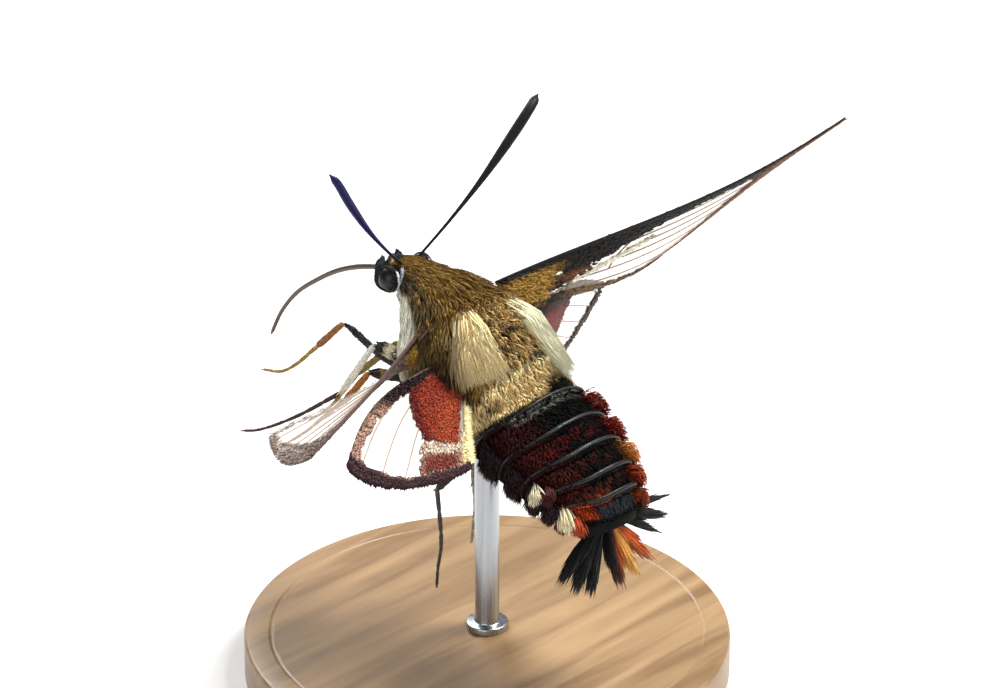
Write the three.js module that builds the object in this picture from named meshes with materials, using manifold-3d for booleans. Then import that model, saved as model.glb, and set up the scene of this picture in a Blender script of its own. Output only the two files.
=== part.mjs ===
// Hummingbird clearwing moth hovering with its tongue out, life size, on a plain display stand.
// Millimetres. +X is the moth's right, +Y its heading, +Z up. The origin is the middle of the
// underside of the stand's base.

import * as THREE from 'three';
import { mergeVertices } from 'three/addons/utils/BufferGeometryUtils.js';
import Module from 'manifold-3d';

const wasm = await Module();
wasm.setup();

// Driving dimensions
const GAP = 0.3;                 // air left between neighbouring pieces
const PITCH = 33;                // degrees the body's nose is raised
const HOVER = 22;                // thorax centre above the underside of the base
const AHEAD = 2;                 // thorax centre in front of the rod

const BASE_RADIUS = 16;
const BASE_THICK = 3;
const BASE_BEVEL = 0.5;
const ROD_RADIUS = 0.8;

const WING_THICK = 0.5;
const COSTA_THICK = 0.85;
const VEIN_HALF_WIDTH = 0.22;
const VEIN_RISE = 0.16;
const RIM_FLARE = 0.16;
const ANTENNA_LENGTH = 12.6;
const TONGUE_RADIUS = 0.27;
const EYE_RADIUS = [0.78, 0.85, 0.88];

// Body outline: distance forward, height of the middle, half width, height over and under it
const BODY = [
  [8.2, 0.95, 0.45, 0.4, 0.4],
  [7.75, 0.75, 1.1, 0.85, 0.8],
  [7.1, 0.7, 1.75, 1.35, 1.1],
  [6.2, 0.85, 1.85, 1.65, 1.1],
  [5.1, 0.95, 2.15, 2.3, 1.3],
  [3.5, 0.8, 3.2, 3.8, 2.3],
  [1.3, 0.35, 4.6, 4.9, 3.7],
  [-1.2, 0.15, 4.95, 4.85, 4.2],
  [-3.4, 0.35, 4.65, 4.2, 3.85],
  [-5.2, 0.5, 4.4, 3.65, 3.4],
  [-7.4, 0.7, 4.4, 3.4, 3.3],
  [-9.6, 0.95, 4.15, 3.2, 3.1],
  [-11.6, 1.05, 3.7, 2.9, 2.8],
  [-13.3, 0.8, 3.0, 2.4, 2.3],
  [-14.8, 0.2, 2.2, 1.75, 1.7],
  [-15.9, -0.7, 1.4, 1.1, 1.1],
];

// Stations of BODY where one piece ends and the next begins
const NOSE = 0;
const NECK = 4.15;
const WAIST = 8.7;
const RINGS = [9.85, 10.85, 11.7, 12.45, 13.1, 13.7];

const COLOURS = {
  olive: ['#8a7440', 0.9, 0],
  tan: ['#b08c45', 0.9, 0],
  maroon: ['#4a1512', 0.75, 0],
  black: ['#15110f', 0.7, 0],
  rust: ['#b4501c', 0.85, 0],
  eye: ['#120d0d', 0.15, 0],
  horn: ['#161a22', 0.45, 0],
  tongue: ['#2b1a12', 0.5, 0],
  leg: ['#4a3527', 0.7, 0],
  tarsus: ['#7d6534', 0.7, 0],
  film: ['#c9bfae', 0.3, 0],
  wood: ['#b99a72', 0.6, 0],
  steel: ['#9a9a9a', 0.3, 1],
};

const vec = (x, y, z) => new THREE.Vector3(x, y, z);
const point = (list) => vec(...list);
const mix = (a, b, t) => a.clone().lerp(b, t);
const mirror = (p, side) => vec(p.x * side, p.y, p.z);
const { degToRad, lerp } = THREE.MathUtils;

// A repeatable stream of numbers from -1 to 1, so that every lock is a little different
function stream(seed) {
  let state = seed;
  return () => {
    state = (state * 1103515245 + 12345) % 2147483648;
    return state / 1073741824 - 1;
  };
}

// Solids: weld shared corners, drop flat triangles, turn the faces outwards
function weld(source) {
  const geometry = source.clone();
  geometry.deleteAttribute('normal');
  geometry.deleteAttribute('uv');
  const merged = mergeVertices(geometry, 1e-4);
  const at = merged.attributes.position;
  const index = merged.index.array;
  const kept = [];
  let volume = 0;
  for (let i = 0; i < index.length; i += 3) {
    const [a, b, c] = [index[i], index[i + 1], index[i + 2]];
    if (a === b || b === c || c === a) {
      continue;
    }
    kept.push(a, b, c);
    const [p, q, r] = [a, b, c].map((k) => vec().fromBufferAttribute(at, k));
    volume += p.dot(q.cross(r));
  }
  if (volume < 0) {
    for (let i = 0; i < kept.length; i += 3) {
      [kept[i + 1], kept[i + 2]] = [kept[i + 2], kept[i + 1]];
    }
  }
  merged.setIndex(kept);
  return merged;
}

function solid(source) {
  const geometry = weld(source);
  return new wasm.Manifold(new wasm.Mesh({
    numProp: 3,
    vertProperties: Float32Array.from(geometry.attributes.position.array),
    triVerts: Uint32Array.from(geometry.index.array),
  }));
}

// The largest closed surface of a solid, without any sealed hollow
function geometryOf(manifold) {
  const parts = manifold.decompose();
  parts.sort((a, b) => b.volume() - a.volume());
  const mesh = parts[0].getMesh();
  const geometry = new THREE.BufferGeometry();
  const corners = new THREE.BufferAttribute(Float32Array.from(mesh.vertProperties), 3);
  geometry.setAttribute('position', corners);
  geometry.setIndex(Array.from(mesh.triVerts));
  return geometry;
}

// A closed tube: section(t) gives its middle and the vectors to its side, top and underside
function loft(sides, steps, section) {
  const geometry = new THREE.CylinderGeometry(1, 1, 1, sides, steps);
  const at = geometry.attributes.position;
  for (let i = 0; i < at.count; i += 1) {
    const { centre, side, over, under } = section(0.5 - at.getY(i));
    const rise = at.getX(i);
    const arm = rise >= 0 ? over : under;
    const p = centre.clone().addScaledVector(side, at.getZ(i)).addScaledVector(arm, rise);
    at.setXYZ(i, p.x, p.y, p.z);
  }
  return geometry;
}

// A closed plate: place(column, row, face) gives the corners of its upper and lower face
function plate(columns, rows, place) {
  const sheet = new THREE.PlaneGeometry(1, 1, columns, rows);
  const across = columns + 1;
  const count = across * (rows + 1);
  const corners = [];
  for (const face of [1, -1]) {
    for (let i = 0; i < count; i += 1) {
      corners.push(...place(i % across, Math.floor(i / across), face).toArray());
    }
  }
  const faces = Array.from(sheet.index.array);
  for (let i = faces.length - 3; i >= 0; i -= 3) {
    faces.push(faces[i] + count, faces[i + 2] + count, faces[i + 1] + count);
  }
  const rim = [];
  for (let i = 0; i < columns; i += 1) {
    rim.push([i + 1, i], [rows * across + i, rows * across + i + 1]);
  }
  for (let j = 0; j < rows; j += 1) {
    rim.push([j * across, (j + 1) * across]);
    rim.push([(j + 1) * across + columns, j * across + columns]);
  }
  for (const [a, b] of rim) {
    faces.push(a, a + count, b, b, a + count, b + count);
  }
  const geometry = new THREE.BufferGeometry();
  geometry.setAttribute('position', new THREE.Float32BufferAttribute(corners, 3));
  geometry.setIndex(faces);
  return geometry;
}

// A round tube along a smooth curve, with its radius given by a function of the way along
function hose(curve, sides, steps, radius, flat = 1) {
  const frames = curve.computeFrenetFrames(steps, false);
  return loft(sides, steps, (t) => {
    const k = Math.round(t * steps);
    const over = frames.normals[k].clone().multiplyScalar(radius(t));
    const side = frames.binormals[k].clone().multiplyScalar(radius(t) * flat);
    return { centre: curve.getPointAt(t), side, over, under: over };
  });
}

// The body as one smooth outline, grown by an even coat of air when asked
const axis = new THREE.CatmullRomCurve3(BODY.map(([y, z]) => vec(0, y, z)));
const girth = new THREE.CatmullRomCurve3(BODY.map(([, , w, over, under]) => vec(w, over, under)));

function bodySection(station, grow = 0) {
  const t = station / (BODY.length - 1);
  const along = axis.getTangent(t);
  const up = along.clone().cross(vec(1, 0, 0));
  const [w, over, under] = girth.getPoint(t).toArray();
  return {
    centre: axis.getPoint(t),
    along,
    side: vec(w + grow, 0, 0),
    over: up.clone().multiplyScalar(over + grow),
    under: up.clone().multiplyScalar(under + grow),
  };
}

function bodyPiece(from, to, sides, steps, grow = 0) {
  return loft(sides, steps, (t) => {
    const section = bodySection(lerp(from, to, t), grow);
    const end = t === 0 ? -1 : Number(t === 1);
    section.centre.addScaledVector(section.along, end * grow);
    return section;
  });
}

// Station moved along the axis by a length
function shifted(station, length) {
  const ahead = axis.getPoint((station + 0.05) / (BODY.length - 1));
  const behind = axis.getPoint((station - 0.05) / (BODY.length - 1));
  return station + (length * 0.1) / ahead.distanceTo(behind);
}

function onBody(station, degrees, out = 0) {
  const { centre, side, over, under } = bodySection(station, out);
  const angle = degToRad(degrees);
  const rise = Math.sin(angle);
  const arm = rise < 0 ? under : over;
  return centre.addScaledVector(side, Math.cos(angle)).addScaledVector(arm, rise);
}

const nodes = [];
const body = new THREE.Group();
const moth = new THREE.Group();
moth.add(body);

function add(name, geometry, colour, home = body) {
  const [tint, roughness, metalness] = COLOURS[colour];
  const material = new THREE.MeshStandardMaterial({ color: tint, roughness, metalness });
  const mesh = new THREE.Mesh(geometry, material);
  mesh.name = name;
  home.add(mesh);
  nodes.push(mesh);
  return mesh;
}

// Head, with a socket for each eye
const EYE_PLACE = [1.42, 6.7, 0.87];

function eyeBall(side, grow = 0) {
  const ball = new THREE.SphereGeometry(1, 14, 9);
  ball.rotateZ(Math.PI / 2);
  ball.scale(...EYE_RADIUS.map((r) => r + grow));
  const home = mirror(point(EYE_PLACE), side);
  ball.translate(home.x, home.y, home.z);
  return ball;
}

const headCore = solid(bodyPiece(NOSE, shifted(NECK, -GAP / 2), 20, 9));
const headAir = solid(bodyPiece(NOSE, NECK, 20, 9, GAP));
let head = headCore;
for (const side of [-1, 1]) {
  head = head.subtract(solid(eyeBall(side, GAP)));
}
add('head', geometryOf(head), 'olive');
add('eye_left', weld(eyeBall(-1)), 'eye');
add('eye_right', weld(eyeBall(1)), 'eye');

// Palps: short brushes either side of the mouth, turned up in front of the face
const PALP_PATH = [
  [0.75, 6.9, -0.55], [0.85, 7.45, -0.6], [0.85, 7.8, -0.1], [0.8, 8.15, 0.5], [0.68, 8.35, 0.95],
];
const PALP_RADIUS = 0.36;

for (const [name, side] of [['palpus_left', -1], ['palpus_right', 1]]) {
  const path = new THREE.CatmullRomCurve3(PALP_PATH.map((p) => mirror(point(p), side)));
  const brush = hose(path, 8, 8, (t) => PALP_RADIUS * (1.1 - 0.75 * t * t));
  add(name, geometryOf(solid(brush).subtract(headAir)), 'olive');
}

// Tongue: held out ahead and a little down, slightly bowed
const TONGUE_PATH = [
  [0, 7.5, 0.3], [0, 8.25, -0.45], [0, 9.5, -1.85], [0, 10.4, -3.1], [0, 11.1, -4.3],
  [0, 11.9, -6.1], [0, 12.7, -8.4], [0, 13.0, -10.8], [0, 12.8, -13.2],
];
const tonguePath = new THREE.CatmullRomCurve3(TONGUE_PATH.map(point));
const tongue = solid(hose(tonguePath, 8, 22, (t) => TONGUE_RADIUS * (1.05 - 0.4 * t)));
add('proboscis', geometryOf(tongue.subtract(headAir)), 'tongue');

// Antennae: thin at the base, thickest four fifths of the way out, with a small hook
const ANTENNA_BASE = [0.8, 6.9, 1.9];
const ANTENNAE = {
  antenna_left: { side: -1, aim: [0.635, 0.26, 0.7], bow: [0.6, -0.5, 0.1], hook: [0.25, 0.3, 0.1] },
  antenna_right: { side: 1, aim: [0.72, 0.255, 0.7], bow: [-0.35, -0.5, 0.1], hook: [0.6, 0.3, -0.1] },
};

function antennaRadius(t) {
  const swell = Math.exp(-(((t - 0.82) / 0.25) ** 2));
  return t > 0.96 ? 0.12 : 0.23 + 0.13 * swell;
}

for (const [name, { side, aim, bow, hook }] of Object.entries(ANTENNAE)) {
  const base = point(ANTENNA_BASE);
  const reach = point(aim).multiplyScalar(ANTENNA_LENGTH);
  const stops = [-0.08, 0.25, 0.5, 0.75, 0.93].map((t) => base.clone()
    .addScaledVector(reach, t).addScaledVector(point(bow), Math.sin(Math.PI * t)));
  stops.push(base.clone().addScaledVector(reach, 0.97).add(point(hook)));
  const path = new THREE.CatmullRomCurve3(stops.map((p) => mirror(p, side)));
  const shaft = solid(hose(path, 8, 20, antennaRadius));
  add(name, geometryOf(shaft.subtract(headAir)), 'horn');
}

// A flat tapered lock: spine(t) gives its middle with the vectors across and out of it
const LOCK_STEPS = 4;

function lock(width, thick, spine) {
  return solid(loft(4, LOCK_STEPS, (t) => {
    const { centre, across, out } = spine(t);
    const half = width * Math.min(1, 0.5 + 1.6 * t) * Math.sqrt(1.03 - t ** 2.5);
    const deep = thick * (1 - 0.65 * t);
    const over = out.clone().multiplyScalar(deep);
    return { centre, side: across.clone().multiplyScalar(half), over, under: over };
  }));
}

// A lock that lies along the body, from one station and angle to another, rising by a lift
function bodyLock(from, to, angleFrom, angleTo, sink, lift, width, thick) {
  return lock(width, thick, (t) => {
    const station = lerp(from, to, t);
    const angle = lerp(angleFrom, angleTo, t);
    const rise = lerp(-sink, lift, Math.sin((t * Math.PI) / 2));
    const centre = onBody(station, angle, rise);
    const across = onBody(station, angle + 2, rise).sub(onBody(station, angle - 2, rise)).normalize();
    const out = onBody(station, angle, rise + 0.5).sub(centre).normalize();
    return { centre, across, out };
  });
}

// Wings: four edges given by the root, the apex and the rear corner, and a bulged outer margin
const FORE_LENGTH = 26;
const FORE_CORNER = [12.6, 8.7];    // rear corner: out along the span, back along the chord
const HIND_LENGTH = 11.1;
const HIND_INNER = 6.4;
const FORE = {
  bow: 0.35,
  hollow: 0.7,
  bulge: 1.6,
  camber: 0.5,
  columns: [0, 0.09, 0.18, 0.27, 0.36, 0.43, 0.45, 0.47, 0.57, 0.68, 0.79, 0.9, 1],
  veins: [[0.09, 0], [0.22, 0], [0.36, 0.45], [0.5, 0.45], [0.63, 0.45], [0.76, 0], [0.9, 0]],
  cell: [0.22, 0.76],
};
const HIND = {
  bow: 1.3,
  hollow: 0.2,
  bulge: 2.35,
  camber: 0.4,
  columns: [0, 0.13, 0.28, 0.43, 0.45, 0.47, 0.62, 0.76, 0.89, 1],
  veins: [[0.14, 0], [0.34, 0], [0.54, 0.45], [0.72, 0], [0.88, 0]],
  cell: [0.34, 0.72],
};
const CELL_END = 0.45;              // way out along the wing where the cross vein stands
const SAG_SKEW = 1.4;               // moves the deepest sag out past the middle of the wing

// Each wing's pose: root chord, direction of its leading edge and of its chord, sag between the ends
const WINGS = {
  forewing_right: {
    front: [3.2, 2.4, 3.3], rear: [3.3, 0.3, 3.0], span: [0.873, -0.172, 0.457], chord: [0.5, 0.0, -0.86],
    sag: 0.9,
  },
  forewing_left: {
    front: [-3.4, 2.0, 1.6], rear: [-3.6, 0.5, 1.4], span: [-0.855, -0.337, 0.41], chord: [-0.15, 0.38, -0.89],
    sag: 0,
  },
  hindwing_right: {
    front: [3.4, -0.5, 2.0], rear: [3.4, -2.6, 1.9], span: [0.973, 0.12, -0.2], chord: [0.7, 0.08, -0.71],
    sag: 0,
  },
  hindwing_left: {
    front: [-3.4, -0.6, 2.1], rear: [-3.4, -2.6, 2.0], span: [-0.955, -0.27, -0.1], chord: [-0.62, -0.78, 0.03],
    sag: 0,
  },
};

function wingOf(name) {
  const pose = WINGS[name];
  const kind = name.startsWith('fore') ? FORE : HIND;
  const front = point(pose.front);
  const rear = point(pose.rear);
  const span = point(pose.span).normalize();
  const chord = point(pose.chord).normalize();
  const apex = front.clone().addScaledVector(span, kind === FORE ? FORE_LENGTH : HIND_LENGTH);
  const corner = kind === FORE
    ? front.clone().addScaledVector(span, FORE_CORNER[0]).addScaledVector(chord, FORE_CORNER[1])
    : rear.clone().addScaledVector(chord, HIND_INNER);
  const out = mix(apex, corner, 0.5).sub(mix(front, rear, 0.5)).normalize();
  const normal = apex.clone().sub(front).cross(corner.clone().sub(front)).normalize();
  const tipChord = apex.clone().sub(corner);
  const ahead = tipChord.addScaledVector(out, -tipChord.dot(out)).normalize();
  return { front, rear, apex, corner, out, normal, ahead, kind, sag: pose.sag };
}

function wingPoint(wing, u, v) {
  const { bow, hollow, bulge, camber } = wing.kind;
  const belly = Math.max(Math.sin(Math.PI * v), 0);
  const lead = mix(wing.front, wing.apex, u).addScaledVector(wing.ahead, bow * Math.sin(Math.PI * u));
  const trail = mix(wing.rear, wing.corner, u).addScaledVector(wing.ahead, hollow * Math.sin(Math.PI * u));
  const middle = mix(lead, trail, v).addScaledVector(wing.out, bulge * belly ** 0.7 * u ** 3);
  const sag = wing.sag * Math.sin(Math.PI * Math.max(u, 0) ** SAG_SKEW);
  return middle.addScaledVector(wing.normal, camber * belly * u - sag);
}

// Rows of a wing's grid: three for each vein, set closer where the wing is narrow
function wingRows(wing, u) {
  const chord = wingPoint(wing, u, 0).distanceTo(wingPoint(wing, u, 1));
  const foot = Math.min(VEIN_HALF_WIDTH / chord, 0.035);
  const rows = [0, foot];
  for (const [at] of wing.kind.veins) {
    rows.push(at - foot, at, at + foot);
  }
  return [...rows, 1];
}

function wingRise(wing, u, row) {
  const { veins, cell } = wing.kind;
  const number = Math.floor((row - 2) / 3);
  const onVein = row >= 2 && number < veins.length && (row - 2) % 3 === 1;
  const rise = onVein && u >= veins[number][1] ? VEIN_RISE : 0;
  const v = wingRows(wing, u)[row];
  const across = u === CELL_END && v >= cell[0] && v <= cell[1];
  return across ? VEIN_RISE : rise;
}

function wingPlate(name) {
  const wing = wingOf(name);
  const { columns } = wing.kind;
  const rows = wingRows(wing, 1).length - 1;
  const step = 0.01;
  return plate(columns.length - 1, rows, (i, j, face) => {
    const u = columns[i];
    const v = wingRows(wing, u)[j];
    const along = wingPoint(wing, u + step, v).sub(wingPoint(wing, u - step, v));
    const across = wingPoint(wing, u, v + step).sub(wingPoint(wing, u, v - step));
    const thick = (j === 0 ? COSTA_THICK : WING_THICK) / 2 + wingRise(wing, u, j);
    return wingPoint(wing, u, v).addScaledVector(along.cross(across).normalize(), face * thick);
  });
}

// The space a wing's root needs: the plain blade, thicker and wider by the gap all round
function wingAir(name) {
  const wing = wingOf(name);
  const step = 0.01;
  return solid(plate(3, 2, (i, j, face) => {
    const u = 0.15 * i - 0.02;
    const chord = wingPoint(wing, u, 0).distanceTo(wingPoint(wing, u, 1));
    const v = 0.5 + (j / 2 - 0.5) * (1 + (2 * GAP) / chord);
    const along = wingPoint(wing, u + step, v).sub(wingPoint(wing, u, v));
    const across = wingPoint(wing, u, 0.5 + step).sub(wingPoint(wing, u, 0.5 - step));
    const deep = face * (COSTA_THICK / 2 + VEIN_RISE + GAP);
    return wingPoint(wing, u, v).addScaledVector(along.cross(across).normalize(), deep);
  }));
}

const thoraxAir = solid(bodyPiece(NECK, WAIST, 24, 9, GAP));
for (const name of Object.keys(WINGS)) {
  add(name, geometryOf(solid(wingPlate(name)).subtract(thoraxAir)), 'film');
}

// Thorax, with a sheaf of long locks over each shoulder that lie back past the wing roots
const SHOULDER_LOCKS = 9;
const SHOULDER_ANGLES = [22, 74];   // degrees above the side where the locks are rooted
let thorax = solid(bodyPiece(shifted(NECK, GAP / 2), shifted(WAIST, -GAP / 2), 24, 9));
for (const side of [1, -1]) {
  const vary = stream(11);
  for (let k = 0; k < SHOULDER_LOCKS; k += 1) {
    const share = k / (SHOULDER_LOCKS - 1);
    const root = lerp(...SHOULDER_ANGLES, share) + 2 * vary();
    const tip = root - 14 + 12 * share + 3 * vary();
    const from = 5.2 + 0.25 * vary();
    const to = 8.4 + 0.2 * vary() - 0.5 * share;
    const angles = side > 0 ? [root, tip] : [180 - root, 180 - tip];
    thorax = thorax.add(bodyLock(from, to, ...angles, 0.4, 0.5, 0.55, 0.34));
  }
}
for (const name of Object.keys(WINGS)) {
  thorax = thorax.subtract(wingAir(name));
}
add('thorax', geometryOf(thorax), 'olive');

// Abdomen: one tan ring, then dark ones that flare to a rim and carry side tufts
const TUFT_ANGLES = [-34, -12, 10, 30];
const LAST_TUFT_ANGLES = [150, 196];
const starts = [WAIST, ...RINGS];
const tuftVary = stream(5);

function abdomenRing(k) {
  const from = shifted(starts[k], GAP / 2);
  const to = shifted(starts[k + 1], -GAP / 2);
  let ring = solid(loft(24, 3, (t) => bodySection(lerp(from, to, t), RIM_FLARE * (t ** 2 - 0.4))));
  const paired = k === 0 ? [] : TUFT_ANGLES.flatMap((a) => [a, 180 - a]);
  const angles = k === RINGS.length - 1 ? LAST_TUFT_ANGLES : paired;
  for (const angle of angles) {
    const root = lerp(from, to, 0.42 + 0.06 * tuftVary());
    const tip = shifted(to, 0.75 + 0.25 * tuftVary());
    ring = ring.add(bodyLock(root, tip, angle, angle + 3 * tuftVary(), 0.45, 0.62, 0.52, 0.24));
  }
  return ring;
}

for (let k = 0; k < RINGS.length; k += 1) {
  add(`abdomen_${k + 1}`, geometryOf(abdomenRing(k)), k === 0 ? 'tan' : 'maroon');
}

// Tail fan: three sheaves of tapered locks spread like a hand below and behind the last ring
const FAN_ROLL = 20;
const FAN_DROP = 35;
const FAN_LENGTH = 5.2;
const FAN_LAYERS = [-0.28, 0.28];
const FANS = [['tail_fan_left', -66, -22], ['tail_fan_middle', -11, 32], ['tail_fan_right', 43, 76]];
const fanRoot = axis.getPoint((RINGS.at(-1) - 0.35) / (BODY.length - 1));
const fanVary = stream(23);

function fanAim(degrees) {
  const spread = degToRad(degrees);
  const across = vec(Math.cos(degToRad(FAN_ROLL)), 0, Math.sin(degToRad(FAN_ROLL)));
  const back = vec(0, -Math.cos(degToRad(FAN_DROP)), -Math.sin(degToRad(FAN_DROP)));
  return across.multiplyScalar(Math.sin(spread)).addScaledVector(back, Math.cos(spread));
}

function fanSheaf(from, to) {
  const middle = (from + to) / 2;
  const thick = fanAim(middle).cross(fanAim(middle + 90));
  const half = degToRad((to - from) / 2);
  const root = loft(8, 3, (t) => {
    const out = FAN_LENGTH * (0.12 + 0.4 * t);
    const over = thick.clone().multiplyScalar(0.8 - 0.3 * t);
    return {
      centre: fanRoot.clone().addScaledVector(fanAim(middle), out),
      side: fanAim(middle + 90).multiplyScalar(out * Math.tan(half) * 0.8),
      over,
      under: over,
    };
  });
  let sheaf = solid(root);
  FAN_LAYERS.forEach((layer, row) => {
    for (let k = 0; k < 5 - row; k += 1) {
      const aim = lerp(from + 7.5, to - 7.5, (k + row / 2) / 4);
      const length = FAN_LENGTH * (0.94 + 0.09 * fanVary());
      const droop = 0.55 * layer + 0.12 * fanVary();
      sheaf = sheaf.add(lock(0.42, 0.27, (t) => {
        const out = lerp(0.22 * FAN_LENGTH, length, t);
        const tuck = Math.min(1, 0.45 + t);
        const centre = fanRoot.clone().addScaledVector(fanAim(lerp(middle, aim, tuck)), out);
        centre.addScaledVector(thick, layer + droop * t * t);
        return { centre, across: fanAim(aim + 90), out: thick };
      }));
    }
  });
  return sheaf;
}

const lastRingAir = solid(bodyPiece(RINGS[4], RINGS[5], 24, 3, GAP));
for (const [name, from, to] of FANS) {
  const tint = name.endsWith('middle') ? 'rust' : 'black';
  add(name, geometryOf(fanSheaf(from, to).subtract(lastRingAir)), tint);
}

// Legs: thigh, shin and foot of each, from the root under the thorax out to the claw
const LEGS = {
  leg_front_left: [
    [-1.5, 1.8, -2.3], [-2.4, 4.7, -3.1], [-3.9, 4.2, -7.0], [-5.0, 5.6, -10.9], [-6.0, 6.9, -13.4], [-6.5, 7.6, -14.1],
  ],
  leg_front_right: [
    [0.5, 2.6, -2.1], [0.2, 8.7, -7.1], [0.1, 9.4, -10.4], [-0.2, 10.0, -13.2], [-0.5, 10.5, -14.3], [-0.9, 11.5, -15.1],
  ],
  leg_middle_left: [
    [-1.9, 1.3, -2.9], [-4.0, 3.2, -3.5], [-4.6, 3.3, -6.4], [-5.2, 3.7, -8.3], [-5.8, 3.9, -9.8], [-6.2, 4.3, -11.2],
  ],
  leg_middle_right: [
    [1.8, 1.3, -2.9], [1.5, 5.2, -5.5], [0.9, 6.2, -10.0], [0.6, 6.3, -12.6], [0.2, 6.4, -14.0], [-0.2, 6.9, -15.4],
  ],
  leg_rear_left: [
    [-2.0, -2.1, -3.0], [-5.0, -6.2, -1.4], [-6.0, -6.1, -3.3], [-5.4, -8.2, -7.0], [-5.0, -8.8, -9.2], [-4.6, -9.3, -10.9],
  ],
  leg_rear_right: [
    [1.7, -1.6, -3.0], [3.2, -2.5, -7.8], [3.3, -4.2, -10.6], [3.3, -5.2, -12.0], [3.3, -5.8, -13.2], [3.2, -6.4, -14.3],
  ],
};

// Where a thigh first hangs from the body before it runs forward to the knee
const HANGING = { leg_front_right: [0.4, 4.0, -5.8] };
const THIGHS = { leg_front_left: 0.57, leg_front_right: 0.34 };
const THIGH_RADIUS = 0.44;          // of every other leg

const JOINT_BACK = 0.19;
const JOINT_ROUND = 0.12;           // share of a leg piece over which its ends are rounded off

function rounded(t) {
  const end = Math.min(t, 1 - t) / JOINT_ROUND;
  return end >= 1 ? 1 : 0.62 + 0.38 * Math.sin((end * Math.PI) / 2);
}

function limb(stops, radius, steps) {
  const curve = stops.length > 2
    ? new THREE.CatmullRomCurve3(stops)
    : new THREE.LineCurve3(...stops);
  return hose(curve, 8, steps, (t) => radius(t) * rounded(t));
}

function between(a, b, fromA, fromB) {
  const way = b.clone().sub(a).normalize();
  return [a.clone().addScaledVector(way, fromA), b.clone().addScaledVector(way, -fromB)];
}

for (const [name, list] of Object.entries(LEGS)) {
  const stops = list.map(point);
  const hips = HANGING[name] ? [stops[0], point(HANGING[name])] : [stops[0]];
  const stout = THIGHS[name] ?? THIGH_RADIUS;
  const knee = between(hips.at(-1), stops[1], 0, stout / 2)[1];
  const thigh = limb([...hips, knee], (t) => stout * (1 - 0.15 * t), 6);
  const shin = limb(between(stops[1], stops[2], JOINT_BACK, JOINT_BACK), (t) => 0.25 + 0.04 * t, 6);
  const toe = between(stops[2], stops[3], JOINT_BACK, 0)[0];
  const foot = limb([toe, ...stops.slice(3)], (t) => 0.26 - 0.07 * t, 8);
  add(`${name}_femur`, geometryOf(solid(thigh).subtract(thoraxAir)), 'leg');
  add(`${name}_tibia`, weld(shin), 'leg');
  add(`${name}_tarsus`, weld(foot), 'tarsus');
}

body.rotation.x = degToRad(PITCH);
body.position.set(0, AHEAD, HOVER);

// Stand: a flat disc and one rod up to just under the thorax
const basePoints = [
  [0, 0], [BASE_RADIUS, 0], [BASE_RADIUS, BASE_THICK - BASE_BEVEL],
  [BASE_RADIUS - BASE_BEVEL, BASE_THICK], [0, BASE_THICK],
].map(([x, y]) => new THREE.Vector2(x, y));
const base = new THREE.LatheGeometry(basePoints, 48);
base.rotateX(Math.PI / 2);
add('stand_base', weld(base), 'wood', moth);

const rodFoot = BASE_THICK + GAP;
const rod = new THREE.CylinderGeometry(ROD_RADIUS, ROD_RADIUS, HOVER - rodFoot, 20);
rod.rotateX(Math.PI / 2);
rod.translate(0, 0, (HOVER + rodFoot) / 2);
body.updateMatrixWorld(true);
let rodSolid = solid(rod);
for (const air of [thoraxAir, solid(bodyPiece(WAIST, RINGS[0], 24, 3, GAP))]) {
  rodSolid = rodSolid.subtract(air.transform(body.matrixWorld.toArray()));
}
add('stand_rod', geometryOf(rodSolid), 'steel', moth);

export default moth;
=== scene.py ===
"""Dresses the model of a hummingbird clearwing moth: skin, fur, eyes, wings, legs and stand.

The moth hovers with its nose raised and its tongue out, held by one rod over a plain disc.
Body sizes are in millimetres in the moth's own frame: +X right, +Y ahead, +Z out of the back.
"""

from __future__ import annotations

import logging
import math
from dataclasses import dataclass, field
from enum import Enum
from typing import Callable

import bmesh
import bpy
import numpy as np
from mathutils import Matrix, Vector


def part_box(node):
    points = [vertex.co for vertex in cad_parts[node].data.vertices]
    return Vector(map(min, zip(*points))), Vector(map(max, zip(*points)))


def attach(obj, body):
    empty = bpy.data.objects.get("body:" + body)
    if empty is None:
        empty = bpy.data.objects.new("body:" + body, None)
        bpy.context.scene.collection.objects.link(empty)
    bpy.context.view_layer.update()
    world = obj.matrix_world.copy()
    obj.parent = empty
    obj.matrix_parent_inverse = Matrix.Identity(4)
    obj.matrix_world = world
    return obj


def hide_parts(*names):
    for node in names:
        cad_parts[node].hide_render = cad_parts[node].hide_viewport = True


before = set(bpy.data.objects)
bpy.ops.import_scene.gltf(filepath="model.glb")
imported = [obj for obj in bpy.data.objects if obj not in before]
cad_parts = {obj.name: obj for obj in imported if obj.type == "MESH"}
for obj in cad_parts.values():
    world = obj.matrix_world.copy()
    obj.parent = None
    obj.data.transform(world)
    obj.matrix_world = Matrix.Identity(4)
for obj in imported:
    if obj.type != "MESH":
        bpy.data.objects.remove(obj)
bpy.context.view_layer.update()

LOG = logging.getLogger("moth")

# Where the moth's own frame stands in the model's frame
MILLIMETRE = 0.001
PITCH = math.radians(33)
PLACE = np.array([0.0, 2.0, 22.0])

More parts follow.
